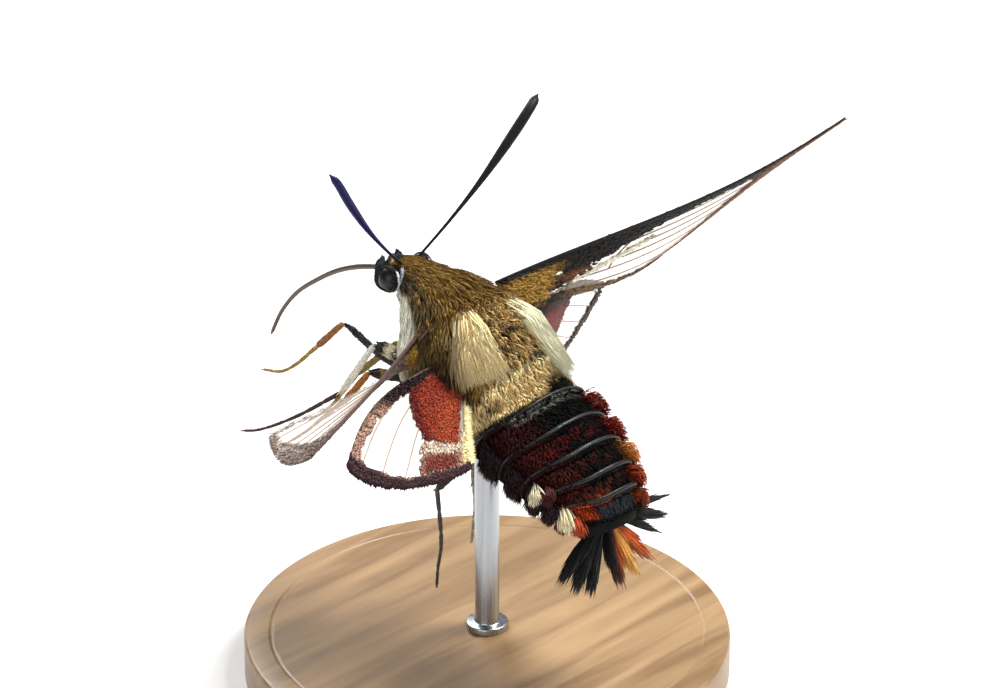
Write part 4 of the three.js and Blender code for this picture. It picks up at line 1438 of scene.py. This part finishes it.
class Wing:
    """One clear wing: film, veins, scaled borders and fringe."""

    def __init__(self, name: str) -> None:
        """Sets the wing's edges from its pose."""
        self.name = name
        front, rear, span, chord = (np.array(v, float) for v in WINGS[name][:4])
        self.sag = WINGS[name][4]
        self.fore = name.startswith("fore")
        self.kind = FORE if self.fore else HIND
        self.front, self.rear = front, rear
        span, chord = unit(span), unit(chord)
        self.apex = front + span * self.kind.length
        out, back = self.kind.corner
        self.corner = front + span * out + chord * back if self.fore else rear + chord * back
        self.out = unit((self.apex + self.corner) / 2 - (front + rear) / 2)
        self.normal = unit(np.cross(self.apex - front, self.corner - front))
        tip = self.apex - self.corner
        self.ahead = unit(tip - self.out * tip.dot(self.out))
        self.side = 1 if name.endswith("right") else -1

    def point(self, u: Array, v: Array) -> Array:
        """Points on the wing's middle surface.

        Args:
            u: Way out along the wing, 0 to 1.
            v: Way back across it, 0 at the leading edge.

        Returns:
            Points in the moth's frame.
        """
        u, v = np.broadcast_arrays(np.asarray(u, float), np.asarray(v, float))
        kind = self.kind
        belly = np.maximum(np.sin(math.pi * v), 0)
        arc = np.sin(math.pi * u)
        a, b = u[..., None], v[..., None]
        arched = self.ahead * arc[..., None]
        lead = self.front + (self.apex - self.front) * a + arched * kind.bow
        trail = self.rear + (self.corner - self.rear) * a + arched * kind.hollow
        bulge = kind.bulge * belly ** 0.7 * u ** 3
        middle = lead + (trail - lead) * b + self.out * bulge[..., None]
        sag = self.sag * np.sin(math.pi * np.maximum(u, 0) ** 1.4)
        return middle + self.normal * (kind.camber * belly * u - sag)[..., None]

    def outward(self, u: Array, v: Array) -> Array:
        """Unit vectors square to the wing."""
        step = 0.01
        along = self.point(u + step, v) - self.point(u - step, v)
        across = self.point(u, np.clip(v + step, 0, 1)) - self.point(u, np.clip(v - step, 0, 1))
        return unit(np.cross(along, across))

    def plate(self, name: str, u: Array, v: Array, keep: Array, thick: float, colours: Array,
              material: bpy.types.Material) -> bpy.types.Object:
        """A thin closed plate over the kept cells of a grid on the wing.

        Args:
            name: The piece's name.
            u: Ways out, one a column.
            v: Ways back, one a row.
            keep: True for each cell that is built.
            thick: Whole thickness.
            colours: Colours at the grid's corners.
            material: The finish.

        Returns:
            The object.
        """
        gu, gv = np.meshgrid(u, v, indexing="ij")
        middle, normal = self.point(gu, gv), self.outward(gu, gv)
        faces_of = (middle + normal * thick / 2, middle - normal * thick / 2)
        corners = np.concatenate([f.reshape(-1, 3) for f in faces_of])
        columns, rows = len(u), len(v)
        count = columns * rows
        i, j = np.nonzero(keep)
        a = i * rows + j
        b, c, d = a + rows, a + rows + 1, a + 1
        faces = [np.stack([a, b, c], -1), np.stack([a, c, d], -1),
                 np.stack([a + count, c + count, b + count], -1),
                 np.stack([a + count, d + count, c + count], -1)]
        padded = np.pad(keep, 1)
        walls = ((-1, 0, a, d), (1, 0, c, b), (0, -1, b, a), (0, 1, d, c))
        for di, dj, p, q in walls:
            open_ = ~padded[i + 1 + di, j + 1 + dj]
            p, q = p[open_], q[open_]
            faces += [np.stack([p, q, q + count], -1), np.stack([p, q + count, p + count], -1)]
        faces = np.concatenate(faces)
        used, index = np.unique(faces, return_inverse=True)
        places = np.stack([0.02 + 0.96 * gu, 0.02 + 0.46 * gv], -1).reshape(-1, 2)
        places = np.concatenate([places, places + [0, 0.49]])
        tones = np.concatenate([colours.reshape(-1, 3)] * 2)
        obj = mesh_object(name, to_model(corners[used]), index.reshape(faces.shape), tones[used],
                          places[used], material)
        outward(obj)
        return obj

    def markings(self, u: Array, v: Array) -> tuple[Array, Array]:
        """How densely scales cover the wing, and their colour.

        Args:
            u: Way out along the wing.
            v: Way back across it.

        Returns:
            Cover from 0 to 1, and linear colours.
        """
        if self.fore:
            return self.fore_markings(u, v)
        return self.hind_left(u, v) if self.side < 0 else self.hind_right(u, v)

    def fore_markings(self, u: Array, v: Array) -> tuple[Array, Array]:
        """Black leading edge and cell, olive base, brown margin and tip."""
        u, v = np.broadcast_arrays(u, v)
        jag = 0.02 * ripple(u * 40, v * 30, 2.0)
        reach = np.interp(u, [0, 0.17, 0.22, 0.36, 0.42, 0.5, 0.6, 0.74, 0.84, 1],
                          [0.1, 0.22, 0.56, 0.5, 0.34, 0.2, 0.13, 0.12, 0.3, 1.1])
        costa = smooth(reach + jag - v, -0.03, 0.03)
        base = smooth(-u + jag, -0.21, -0.15)
        shade = (between(u + jag, 0.15, 0.33, 0.03) * smooth(v, 0.5, 0.6)
                 * smooth(-u - 0.5 * v, -0.66, -0.58))
        rear = np.interp(u, [0, 0.3, 0.55, 1], [0.9, 0.91, 0.96, 0.975])
        inner = smooth(v + 0.5 * jag - rear, 0, 0.015)
        tip = np.interp(v, [0, 0.3, 0.6, 1], [0.8, 0.87, 0.93, 0.95])
        margin = smooth(u + 0.5 * jag - tip, 0, 0.03)
        streak = (smooth(-np.abs(v - 0.75 + 1.25 * (u - 0.3)), -0.045, -0.03)
                  * between(u, 0.27, 0.52, 0.03))
        cover = np.max([costa, base, shade, inner, margin, streak], 0)
        warm = 0.8 * np.exp(-((u - 0.27) / 0.05) ** 2 - ((v - 0.62) / 0.1) ** 2)
        colour = np.broadcast_to(tint("#0b0807"), (*u.shape, 3))
        colour = layered(
            colour,
            (tint("#2a130b"), shade),
            (tint("#6f5433"), inner * smooth(u, 0.2, 0.35)),
            (tint("#6b3a22"), np.maximum(margin, smooth(u, 0.72, 0.84))),
            (tint("#a07c66"), smooth(u, 0.88, 0.98)),
            (blend(OLIVE, GOLD, 0.5), base * smooth(v, 0.12, 0.24)),
            (tint("#7a4a22"), warm),
            (PALE, streak * smooth(v - reach, 0.0, 0.05)),
        )
        if self.side < 0:
            soft = smooth(u, 0.1, 0.3)
            colour = marked(colour, tint("#94837c"), 0.75 * soft)
            cover = cover * (1 - 0.78 * soft)
        return cover, colour

    def hind_left(self, u: Array, v: Array) -> tuple[Array, Array]:
        """Dark leading edge and margin, orange-red base and a second patch near the tail."""
        u, v = np.broadcast_arrays(u, v)
        jag = 0.03 * ripple(u * 20, v * 14, 4.0)
        reach = np.interp(u, [0, 0.25, 0.5, 0.75, 1], [0.24, 0.18, 0.13, 0.08, 0.09])
        costa = smooth(reach + 0.4 * jag - v, -0.02, 0.02)
        edge = np.interp(v, [0, 0.2, 0.4, 0.55, 0.8, 1], [0.92, 0.93, 0.945, 0.96, 0.945, 0.93])
        margin = smooth(u + 0.25 * jag - edge, -0.01, 0.01)
        left = np.interp(u, [0, 0.15, 0.33, 0.42, 0.57, 0.68, 0.74],
                         [0, 0.16, 0.2, 0.33, 0.49, 0.61, 0.8])
        foot = np.interp(v, [0.3, 0.5, 0.6, 0.93], [0.6, 0.66, 0.69, 0.725])
        patch = (smooth(v - left + 0.5 * jag, 0, 0.03) * smooth(foot - u + 0.5 * jag, 0, 0.03)
                 * smooth(-v, -0.95, -0.91))
        deep = smooth(left + 0.14 - v, 0.0, 0.08) * smooth(u, 0.15, 0.3)
        second = between(u + 0.5 * jag, 0.81, 0.92, 0.02) * between(v, 0.66, 0.93, 0.04)
        gap = between(u, 0.72, 0.79, 0.02) * smooth(v, 0.58, 0.7)
        hem = smooth(v, 0.95, 0.975) * smooth(u, 0.5, 0.65) * (1 - margin)
        costa = costa * (1 - 0.5 * smooth(u, 0.45, 0.6))
        cover = np.max([costa, margin, patch, second, 0.7 * gap, 0.8 * hem], 0)
        colour = np.broadcast_to(tint("#230c12"), (*u.shape, 3))
        colour = layered(
            colour,
            (tint("#b48d7b"), smooth(u, 0.42, 0.58) * (1 - margin)),
            (tint("#3c2226"), margin),
            (tint("#8f2f16"), patch),
            (tint("#640c08"), patch * deep),
            (tint("#a8441f"), patch * 0.8 * np.exp(-((v - 0.8) / 0.1) ** 2)),
            # Near-black at the root: partly the wing's darker base, partly painted shadow.
            (tint("#1f0a08"), patch * smooth(-u, -0.16, -0.08)),
            (tint("#7a332a"), second),
            (tint("#dcc7b0"), gap),
        )
        return cover, marked(colour, CREAM, hem)

    def hind_right(self, u: Array, v: Array) -> tuple[Array, Array]:
        """Dark red inner half and a thin soft margin."""
        u, v = np.broadcast_arrays(u, v)
        jag = 0.03 * ripple(u * 20, v * 14, 4.0)
        patch = smooth(0.6 - u + jag, -0.02, 0.02)
        costa = smooth(0.07 + 0.5 * jag - v, -0.02, 0.02)
        margin = 0.6 * smooth(u + 0.4 * jag, 0.94, 0.97)
        cover = np.max([patch, costa, margin], 0)
        colour = np.broadcast_to(tint("#2a1a14"), (*u.shape, 3))
        colour = layered(
            colour,
            (tint("#6a160c"), patch),
            (tint("#200a07"), patch * smooth(-v, -0.42, -0.2)),
            (tint("#4a2f16"), patch * smooth(-u, -0.2, -0.1)),
        )
        return cover, colour

    def film(self, finishes: Finishes) -> bpy.types.Object:
        """The clear membrane."""
        u, v = np.linspace(0, 1, 90), np.linspace(0, 1, 46)
        keep = np.ones((89, 45), bool)
        colours = np.ones((90, 46, 3)) * 0.6
        obj = self.plate(f"{self.name}_film", u, v, keep, 0.05, colours, finishes.film)
        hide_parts(self.name)
        return obj

    def border(self, finishes: Finishes) -> bpy.types.Object:
        """The scaled parts, as a plate just over the film on both faces."""
        u, v = np.linspace(0.0, 1, 165), np.linspace(0, 1, 75)
        gu, gv = np.meshgrid(u, v, indexing="ij")
        cover, colour = self.markings(gu, gv)
        mean = (cover[1:, 1:] + cover[:-1, :-1] + cover[1:, :-1] + cover[:-1, 1:]) / 4
        return self.plate(f"{self.name}_border", u, v, mean > 0.8, 0.12, colour * 0.8,
                          finishes.wing_scales)

    def veins(self, finishes: Finishes) -> bpy.types.Object:
        """Veins as fine tubes in the film, with the thick leading edge."""
        colour = flat_colour(tint("#8f7b68" if self.fore else "#a8927e"))
        tubes = []
        for at, start in self.kind.veins:
            u = np.linspace(start, 0.995, 30)
            path = self.point(u, np.full(30, at))
            tubes.append(Tube(Curve(path, 200), lambda t: 0.065 - 0.03 * t, colour, 8, 60))
        low, high = self.kind.cell
        v = np.linspace(low, high, 16)
        bend = CELL_END - 0.02 * np.sin(np.linspace(0, math.pi, 16))
        tubes.append(Tube(Curve(self.point(bend, v), 100), lambda t: 0.06 + 0 * t, colour, 8, 30))
        edge = Curve(self.point(np.linspace(0, 1, 50), np.zeros(50)), 300)
        dark = flat_colour(tint("#100b0a" if self.side > 0 else "#4a3632"))
        tubes.append(Tube(edge, lambda t: 0.13 - 0.06 * t, dark, 12, 90))
        return joined(f"{self.name}_veins", tubes, finishes.wing_scales)

    def scales(self, finishes: Finishes) -> bpy.types.Object:
        """Overlapping scales over the borders, and the fringes of the outer and inner edges."""
        draw = np.random.default_rng(len(self.name) + 10 * self.side + 50)
        tufts, rows = Tufts(), 3
        count = 30000 if self.fore else 16000
        u, v = draw.uniform(0, 1, count), draw.uniform(0, 1, count)
        cover, colour = self.markings(u, v)
        step = 0.01
        long = np.linalg.norm(self.point(u + step, v) - self.point(u, v), axis=1)
        wide = np.linalg.norm(self.point(u, np.minimum(v + step, 1)) - self.point(u, v), axis=1)
        area = long * wide
        keep = draw.uniform(0, 1, count) < cover
        keep &= draw.uniform(0, np.quantile(area, 0.98), count) < area
        u, v, colour = (values[keep][:MOST_SCALES] for values in (u, v, colour))
        for face in (1, -1):
            self.lay(tufts, u, v, colour, face, 0.38, 0.115, rows, draw)
        v = draw.uniform(0, 1, OUTER_FRINGE)
        _, colour = self.markings(np.full(OUTER_FRINGE, 0.97), v)
        self.lay(tufts, np.full(OUTER_FRINGE, 0.985), v, colour, 1, 0.55, 0.05, rows, draw)
        v = draw.uniform(0.985, 1.0, INNER_FRINGE)
        u = draw.uniform(0.05, 1, INNER_FRINGE)
        _, colour = self.markings(u, v)
        if not self.fore:
            colour = np.broadcast_to(CREAM, colour.shape)
        self.lay(tufts, u, v, colour, 1, 0.5, 0.05, rows, draw, back=True)
        return tufts.mesh(f"{self.name}_scales", finishes.wing_scales, Slot.FILM)

    def lay(self, tufts: Tufts, u: Array, v: Array, colour: Array, face: int, length: float,
            half: float, rows: int, draw: np.random.Generator, back: bool = False) -> None:
        """Lays scales on one face of the wing, pointing outwards or backwards.

        Args:
            tufts: Where the scales are gathered.
            u: Ways out of their roots.
            v: Ways back of their roots.
            colour: Their colours.
            face: 1 for the upper face, -1 for the lower.
            length: Mean length.
            half: Half width.
            rows: Rows in a scale.
            draw: Seeded random numbers.
            back: True for the fringe of the inner edge.
        """
        count = len(u)
        root, normal = self.point(u, v), self.outward(u, v) * face
        along = unit(self.point(u + 0.01, v) - self.point(u, v))
        across = unit(self.point(u, v) - self.point(u, v - 0.01))
        way = across if back else along
        other = along if back else across
        way = unit(way + other * draw.normal(0, 0.16, count)[:, None])
        long = (length * draw.uniform(0.75, 1.25, count))[:, None, None]
        t = np.linspace(0, 1, rows)[None, :, None]
        rise = 0.05 + (0.03 + 0.05 * draw.uniform(0, 1, count)[:, None, None]) * t
        spine = root[:, None] + way[:, None] * long * t + normal[:, None] * rise
        width = widths(half, (0.75, 1.2), rows, count, draw)
        tone = colour[:, None] * draw.lognormal(0, 0.25, count)[:, None, None] * (0.8 + 0.35 * t)
        place = np.stack([0.02 + 0.95 * u, 0.02 + 0.46 * v + (0.49 if face < 0 else 0)], -1)
        out = np.repeat(normal[:, None], rows, 1)
        tufts.add(spine, out, width, width * 0.25, tone, place)

    def build(self, finishes: Finishes) -> list[bpy.types.Object]:
        """Builds the wing's pieces."""
        return [part(finishes) for part in (self.film, self.border, self.veins, self.scales)]


# ---- Legs

LEGS = {
    "leg_front_left": [
        [-1.5, 1.8, -2.3], [-2.4, 4.7, -3.1], [-3.9, 4.2, -7.0], [-5.0, 5.6, -10.9],
        [-6.0, 6.9, -13.4], [-6.5, 7.6, -14.1],
    ],
    "leg_front_right": [
        [0.5, 2.6, -2.1], [0.2, 8.7, -7.1], [0.1, 9.4, -10.4], [-0.2, 10.0, -13.2],
        [-0.5, 10.5, -14.3], [-0.9, 11.5, -15.1],
    ],
    "leg_middle_left": [
        [-1.9, 1.3, -2.9], [-4.0, 3.2, -3.5], [-4.6, 3.3, -6.4], [-5.2, 3.7, -8.3],
        [-5.8, 3.9, -9.8], [-6.2, 4.3, -11.2],
    ],
    "leg_middle_right": [
        [1.8, 1.3, -2.9], [1.5, 5.2, -5.5], [0.9, 6.2, -10.0], [0.6, 6.3, -12.6],
        [0.2, 6.4, -14.0], [-0.2, 6.9, -15.4],
    ],
    "leg_rear_left": [
        [-2.0, -2.1, -3.0], [-5.0, -6.2, -1.4], [-6.0, -6.1, -3.3], [-5.4, -8.2, -7.0],
        [-5.0, -8.8, -9.2], [-4.6, -9.3, -10.9],
    ],
    "leg_rear_right": [
        [1.7, -1.6, -3.0], [3.2, -2.5, -7.8], [3.3, -4.2, -10.6], [3.3, -5.2, -12.0],
        [3.3, -5.8, -13.2], [3.2, -6.4, -14.3],
    ],
}


# Where a thigh bends on its way to the knee
HANGING = {"leg_front_right": [0.4, 4.0, -5.8]}
THIGHS = {"leg_front_left": 0.49, "leg_front_right": 0.25}


@dataclass(frozen=True)
class LegColours:
    """Colours of a leg's thigh, its bands, the shin and the foot."""

    thigh: Array
    band: Array
    shin: Array
    foot: Array
    spur: Array


LEG_COLOURS = {
    name: LegColours(*(tint(code) for code in codes)) for name, codes in {
        "leg_front_left": ("#0a0709", "#e2d4ae", "#f2ecdf", "#3b2228", "#cbb890"),
        "leg_front_right": ("#0b090d", "#1a1214", "#94602c", "#93762a", "#c98a66"),
        "leg_middle_left": ("#251812", "#8d744a", "#a3621f", "#7d6428", "#cf7d28"),
        "leg_middle_right": ("#2a1d14", "#6d5a38", "#7d6a30", "#8c7634", "#cf7d28"),
        "leg_rear_left": ("#26221e", "#4d463d", "#35302b", "#383633", "#5c5449"),
        "leg_rear_right": ("#5d574c", "#8d8778", "#8d887c", "#9b978b", "#8d8778"),
    }.items()
}


class Leg:
    """One leg: scaled thigh and shin, jointed foot, spurs and claws."""

    def __init__(self, name: str) -> None:
        """Keeps the leg's name, stops and colours."""
        self.name = name
        self.stops = np.array(LEGS[name])
        self.colours = LEG_COLOURS[name]
        self.long = np.linalg.norm(self.stops[1] - self.stops[0])

    def thigh(self) -> Tube:
        """The thigh, banded pale near the knee."""
        colours = self.colours

        def colour(t: Array) -> Array:
            """Dark with one broad pale band past the middle."""
            return blend(colours.thigh, colours.band, between(t, 0.5, 0.72, 0.04))

        root, knee = self.stops[:2]
        wide = THIGHS.get(self.name, 0.36)
        stops = [root, knee - unit(knee - root) * wide / 2]
        if self.name in HANGING:
            stops.insert(1, np.array(HANGING[self.name]))
        return Tube(Curve(stops), lambda t: self.ends(t) * wide * (1 - 0.15 * t), colour, 16, 60)

    def ends(self, t: Array) -> Array:
        """Rounds a piece off at both ends."""
        edge = np.minimum(t, 1 - t) / 0.12
        return 0.35 + 0.65 * np.sin(np.clip(edge, 0, 1) * math.pi / 2)

    def shin(self) -> Tube:
        """The shin, a little thicker to its end."""
        return Tube(
            Curve([self.stops[1], self.stops[2]]), lambda t: self.ends(t) * (0.18 + 0.04 * t),
            lambda t: blend(self.colours.shin, self.colours.band, smooth(t, 0.8, 1.0)), 14, 40)

    def foot(self) -> Tube:
        """The foot: five short joints."""
        def radius(t: Array) -> Array:
            """Narrow at each joint."""
            joints = 1 - 0.28 * np.exp(-((t * 5 - np.round(t * 5)) / 0.09) ** 2)
            return (0.16 - 0.08 * t) * joints

        def colour(t: Array) -> Array:
            """Pale rings at the joints."""
            ring = np.exp(-((t * 5 - np.round(t * 5)) / 0.12) ** 2)
            return blend(self.colours.foot, self.colours.foot * 1.6, ring)

        return Tube(Curve(self.stops[2:]), radius, colour, 12, 90)

    def spurs(self) -> list[Tube]:
        """A pair of spurs at the shin's end."""
        way = unit(self.stops[2] - self.stops[1])
        side = unit(np.cross(way, [0.2, 1.0, 0.3]))
        tubes = []
        for k, reach in ((1, 0.85), (-1, 0.6)):
            start = self.stops[2] - way * 0.25
            end = start + (way * 0.9 + side * 0.5 * k) * reach
            path = Curve([start, (start + end) / 2 + side * 0.05 * k, end])
            tubes.append(Tube(path, lambda t: 0.11 * (1.02 - t ** 1.5),
                              flat_colour(self.colours.spur), 8, 16))
        return tubes

    def claws(self) -> list[Tube]:
        """Two small curved claws."""
        way = unit(self.stops[-1] - self.stops[-2])
        side = unit(np.cross(way, [0.1, 0.6, 1.0]))
        down = np.cross(side, way)
        tubes = []
        for k in (1, -1):
            tip = self.stops[-1]
            path = Curve([tip - way * 0.05, tip + way * 0.14 + side * 0.06 * k,
                          tip + way * 0.22 + side * 0.09 * k + down * 0.1])
            tubes.append(Tube(path, lambda t: 0.045 * (1.03 - t),
                              flat_colour(tint("#1a100c")), 8, 14))
        return tubes

    def build(self, finishes: Finishes) -> list[bpy.types.Object]:
        """Builds the leg's limb, its claws and its scales."""
        tubes = [self.thigh(), self.shin(), self.foot(), *self.spurs()]
        limb = joined(f"{self.name}_limb", tubes, finishes.leg)
        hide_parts(*(f"{self.name}_{part}" for part in ("femur", "tibia", "tarsus")))
        claws = joined(f"{self.name}_claws", self.claws(), finishes.tongue)
        draw = np.random.default_rng(sum(ord(c) for c in self.name))
        tufts = Tufts()
        hairs = ((700, 0.42, 0.05, 0.12), (560, 0.34, 0.04, 0.08), (520, 0.2, 0.022, 0.05))
        for tube, sizes in zip(tubes, hairs):
            tube.hair(tufts, *sizes, draw)
        return [limb, claws, tufts.mesh(f"{self.name}_scales", finishes.leg, Slot.LEG)]


# ---- Stand, floor, light and camera

@dataclass
class Stand:
    """Turned wooden disc and the steel rod that holds the moth."""

    radius: float = 0.016
    thick: float = 0.003
    bevel: float = 0.0005
    rod: float = 0.0008
    rod_bevel: float = 0.00012
    collar: float = 0.0006
    sunk: float = 0.0001

    def cylinder(self, name: str, sides: int, radius: float, low: float,
                 high: float) -> bpy.types.Object:
        """An upright cylinder on the stand's axis, between two heights."""
        bpy.ops.object.select_all(action="DESELECT")
        bpy.ops.mesh.primitive_cylinder_add(vertices=sides, radius=radius, depth=high - low,
                                            location=(0, 0, (low + high) / 2))
        obj = bpy.context.active_object
        obj.name = name
        bpy.ops.object.transform_apply(location=True, rotation=True, scale=True)
        return obj

    def rounded(self, obj: bpy.types.Object, width: float, segments: int, degrees: float) -> None:
        """Bevels the edges sharper than an angle and smooths the shading."""
        bevel = obj.modifiers.new("edge", "BEVEL")
        bevel.width, bevel.segments, bevel.angle_limit = width, segments, math.radians(degrees)
        bpy.ops.object.modifier_apply(modifier=bevel.name)
        bpy.ops.object.shade_smooth_by_angle(angle=math.radians(35))

    def disc(self, finishes: Finishes) -> bpy.types.Object:
        """The disc, with a rounded edge and a fine groove near it."""
        obj = self.cylinder("stand_disc", 160, self.radius, 0, self.thick)
        bpy.ops.object.mode_set(mode="EDIT")
        bpy.ops.mesh.select_all(action="DESELECT")
        bpy.ops.object.mode_set(mode="OBJECT")
        for face in obj.data.polygons:
            face.select = face.normal.z > 0.9
        bpy.ops.object.mode_set(mode="EDIT")
        bpy.ops.mesh.select_mode(type="FACE")
        bpy.ops.mesh.inset(thickness=0.0016)
        bpy.ops.mesh.inset(thickness=0.0002, depth=-0.0002)
        bpy.ops.mesh.inset(thickness=0.0002, depth=0.0002)
        bpy.ops.object.mode_set(mode="OBJECT")
        self.rounded(obj, self.bevel, 4, 60)
        obj.data.materials.append(finishes.wood)
        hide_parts("stand_base")
        return obj

    def post(self, finishes: Finishes) -> bpy.types.Object:
        """The rod, with a small collar where it enters the disc."""
        _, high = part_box("stand_rod")
        foot = self.thick - self.sunk
        obj = self.cylinder("stand_post", 64, self.rod, foot, high.z - self.sunk)
        bpy.ops.object.mode_set(mode="EDIT")
        bpy.ops.mesh.select_all(action="SELECT")
        bpy.ops.mesh.bisect(plane_co=(0, 0, foot + self.collar), plane_no=(0, 0, 1))
        bpy.ops.object.mode_set(mode="OBJECT")
        for face in obj.data.polygons:
            face.select = face.center.z < foot + self.collar and abs(face.normal.z) < 0.5
        bpy.ops.object.mode_set(mode="EDIT")
        bpy.ops.mesh.select_mode(type="FACE")
        bpy.ops.mesh.extrude_region_shrink_fatten(
            TRANSFORM_OT_shrink_fatten={"value": self.collar, "use_even_offset": True})
        bpy.ops.object.mode_set(mode="OBJECT")
        self.rounded(obj, self.rod_bevel, 3, 50)
        outward(obj)
        obj.data.materials.append(finishes.steel)
        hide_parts("stand_rod")
        return obj

    def build(self, finishes: Finishes) -> list[bpy.types.Object]:
        """Builds the disc and the rod."""
        return [self.disc(finishes), self.post(finishes)]


@dataclass
class Studio:
    """Pale floor, soft lights and the camera."""

    azimuth: float = -47.0
    elevation: float = 25.2
    distance: float = 0.25
    frame_width: float = 0.0641
    slide: tuple = (0.00231, 0.00083)

    def camera(self) -> None:
        """Sets the camera at the photograph's angle."""
        a, e = math.radians(self.azimuth), math.radians(self.elevation)
        right = Vector((math.cos(a), math.sin(a), 0))
        up = Vector((-math.sin(a) * math.sin(e), math.cos(a) * math.sin(e), math.cos(e)))
        back = Vector((math.sin(a) * math.cos(e), -math.cos(a) * math.cos(e), math.sin(e)))
        target = Vector(PLACE * MILLIMETRE) + right * self.slide[0] + up * self.slide[1]
        data = bpy.data.cameras.new("camera")
        data.sensor_width = 36
        data.lens = 36 * self.distance / self.frame_width
        data.clip_start, data.clip_end = 0.01, 20
        obj = bpy.data.objects.new("camera", data)
        obj.location = target + back * self.distance
        obj.rotation_euler = (-back).to_track_quat("-Z", "Y").to_euler()
        bpy.context.scene.collection.objects.link(obj)
        bpy.context.scene.camera = obj

    def lamp(self, name: str, place: tuple, size: float, power: float, colour: tuple) -> None:
        """Adds a soft square lamp that faces the moth."""
        data = bpy.data.lights.new(name, "AREA")
        data.size, data.energy, data.color = size, power, colour
        obj = bpy.data.objects.new(name, data)
        obj.location = place
        aim = Vector((0, 0.002, 0.02)) - obj.location
        obj.rotation_euler = aim.to_track_quat("-Z", "Y").to_euler()
        bpy.context.scene.collection.objects.link(obj)

    def floor(self) -> None:
        """A wide pale floor."""
        bpy.ops.object.select_all(action="DESELECT")
        bpy.ops.mesh.primitive_circle_add(vertices=96, radius=4, fill_type="NGON")
        obj = bpy.context.active_object
        obj.name = "floor"
        material, tree, shader = blank("floor_paper")
        two_tones(tree, shader, noise_node(tree, 700.0, 4.0), (0.78, 0.78, 0.77),
                  (0.84, 0.84, 0.83))
        shader.inputs["Roughness"].default_value = 0.8
        obj.data.materials.append(material)

    def build(self) -> None:
        """Sets the stage."""
        scene = bpy.context.scene
        self.camera()
        self.floor()
        self.lamp("key", (0.18, -0.12, 0.36), 0.16, 2.7, (1.0, 0.98, 0.94))
        self.lamp("fill", (-0.34, -0.1, 0.16), 0.3, 0.5, (0.94, 0.97, 1.0))
        self.lamp("rim", (0.1, 0.3, 0.3), 0.2, 1.3, (1.0, 1.0, 1.0))
        world = bpy.data.worlds.new("studio")
        world.use_nodes = True
        background = world.node_tree.nodes["Background"]
        set_inputs(background, {"Color": (0.9, 0.93, 0.97, 1), "Strength": 0.34})
        scene.world = world
        scene.view_settings.view_transform = "Standard"
        scene.view_settings.look = "None"


def main() -> None:
    """Builds every piece and sets the stage."""
    logging.basicConfig(level=logging.INFO, format="%(name)s: %(message)s")
    studio = Studio()
    studio.build()
    finishes = Finishes()
    pieces = Torso().build(finishes)
    pieces += Sheaves().build(finishes)
    pieces += Head().build(finishes)
    for name in WINGS:
        pieces += Wing(name).build(finishes)
    for name in LEGS:
        pieces += Leg(name).build(finishes)
    pieces += Stand().build(finishes)
    for piece in pieces:
        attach(piece, "root")
        LOG.info("%s: %d faces", piece.name, len(piece.data.polygons))


if __name__ == "__main__":
    main()
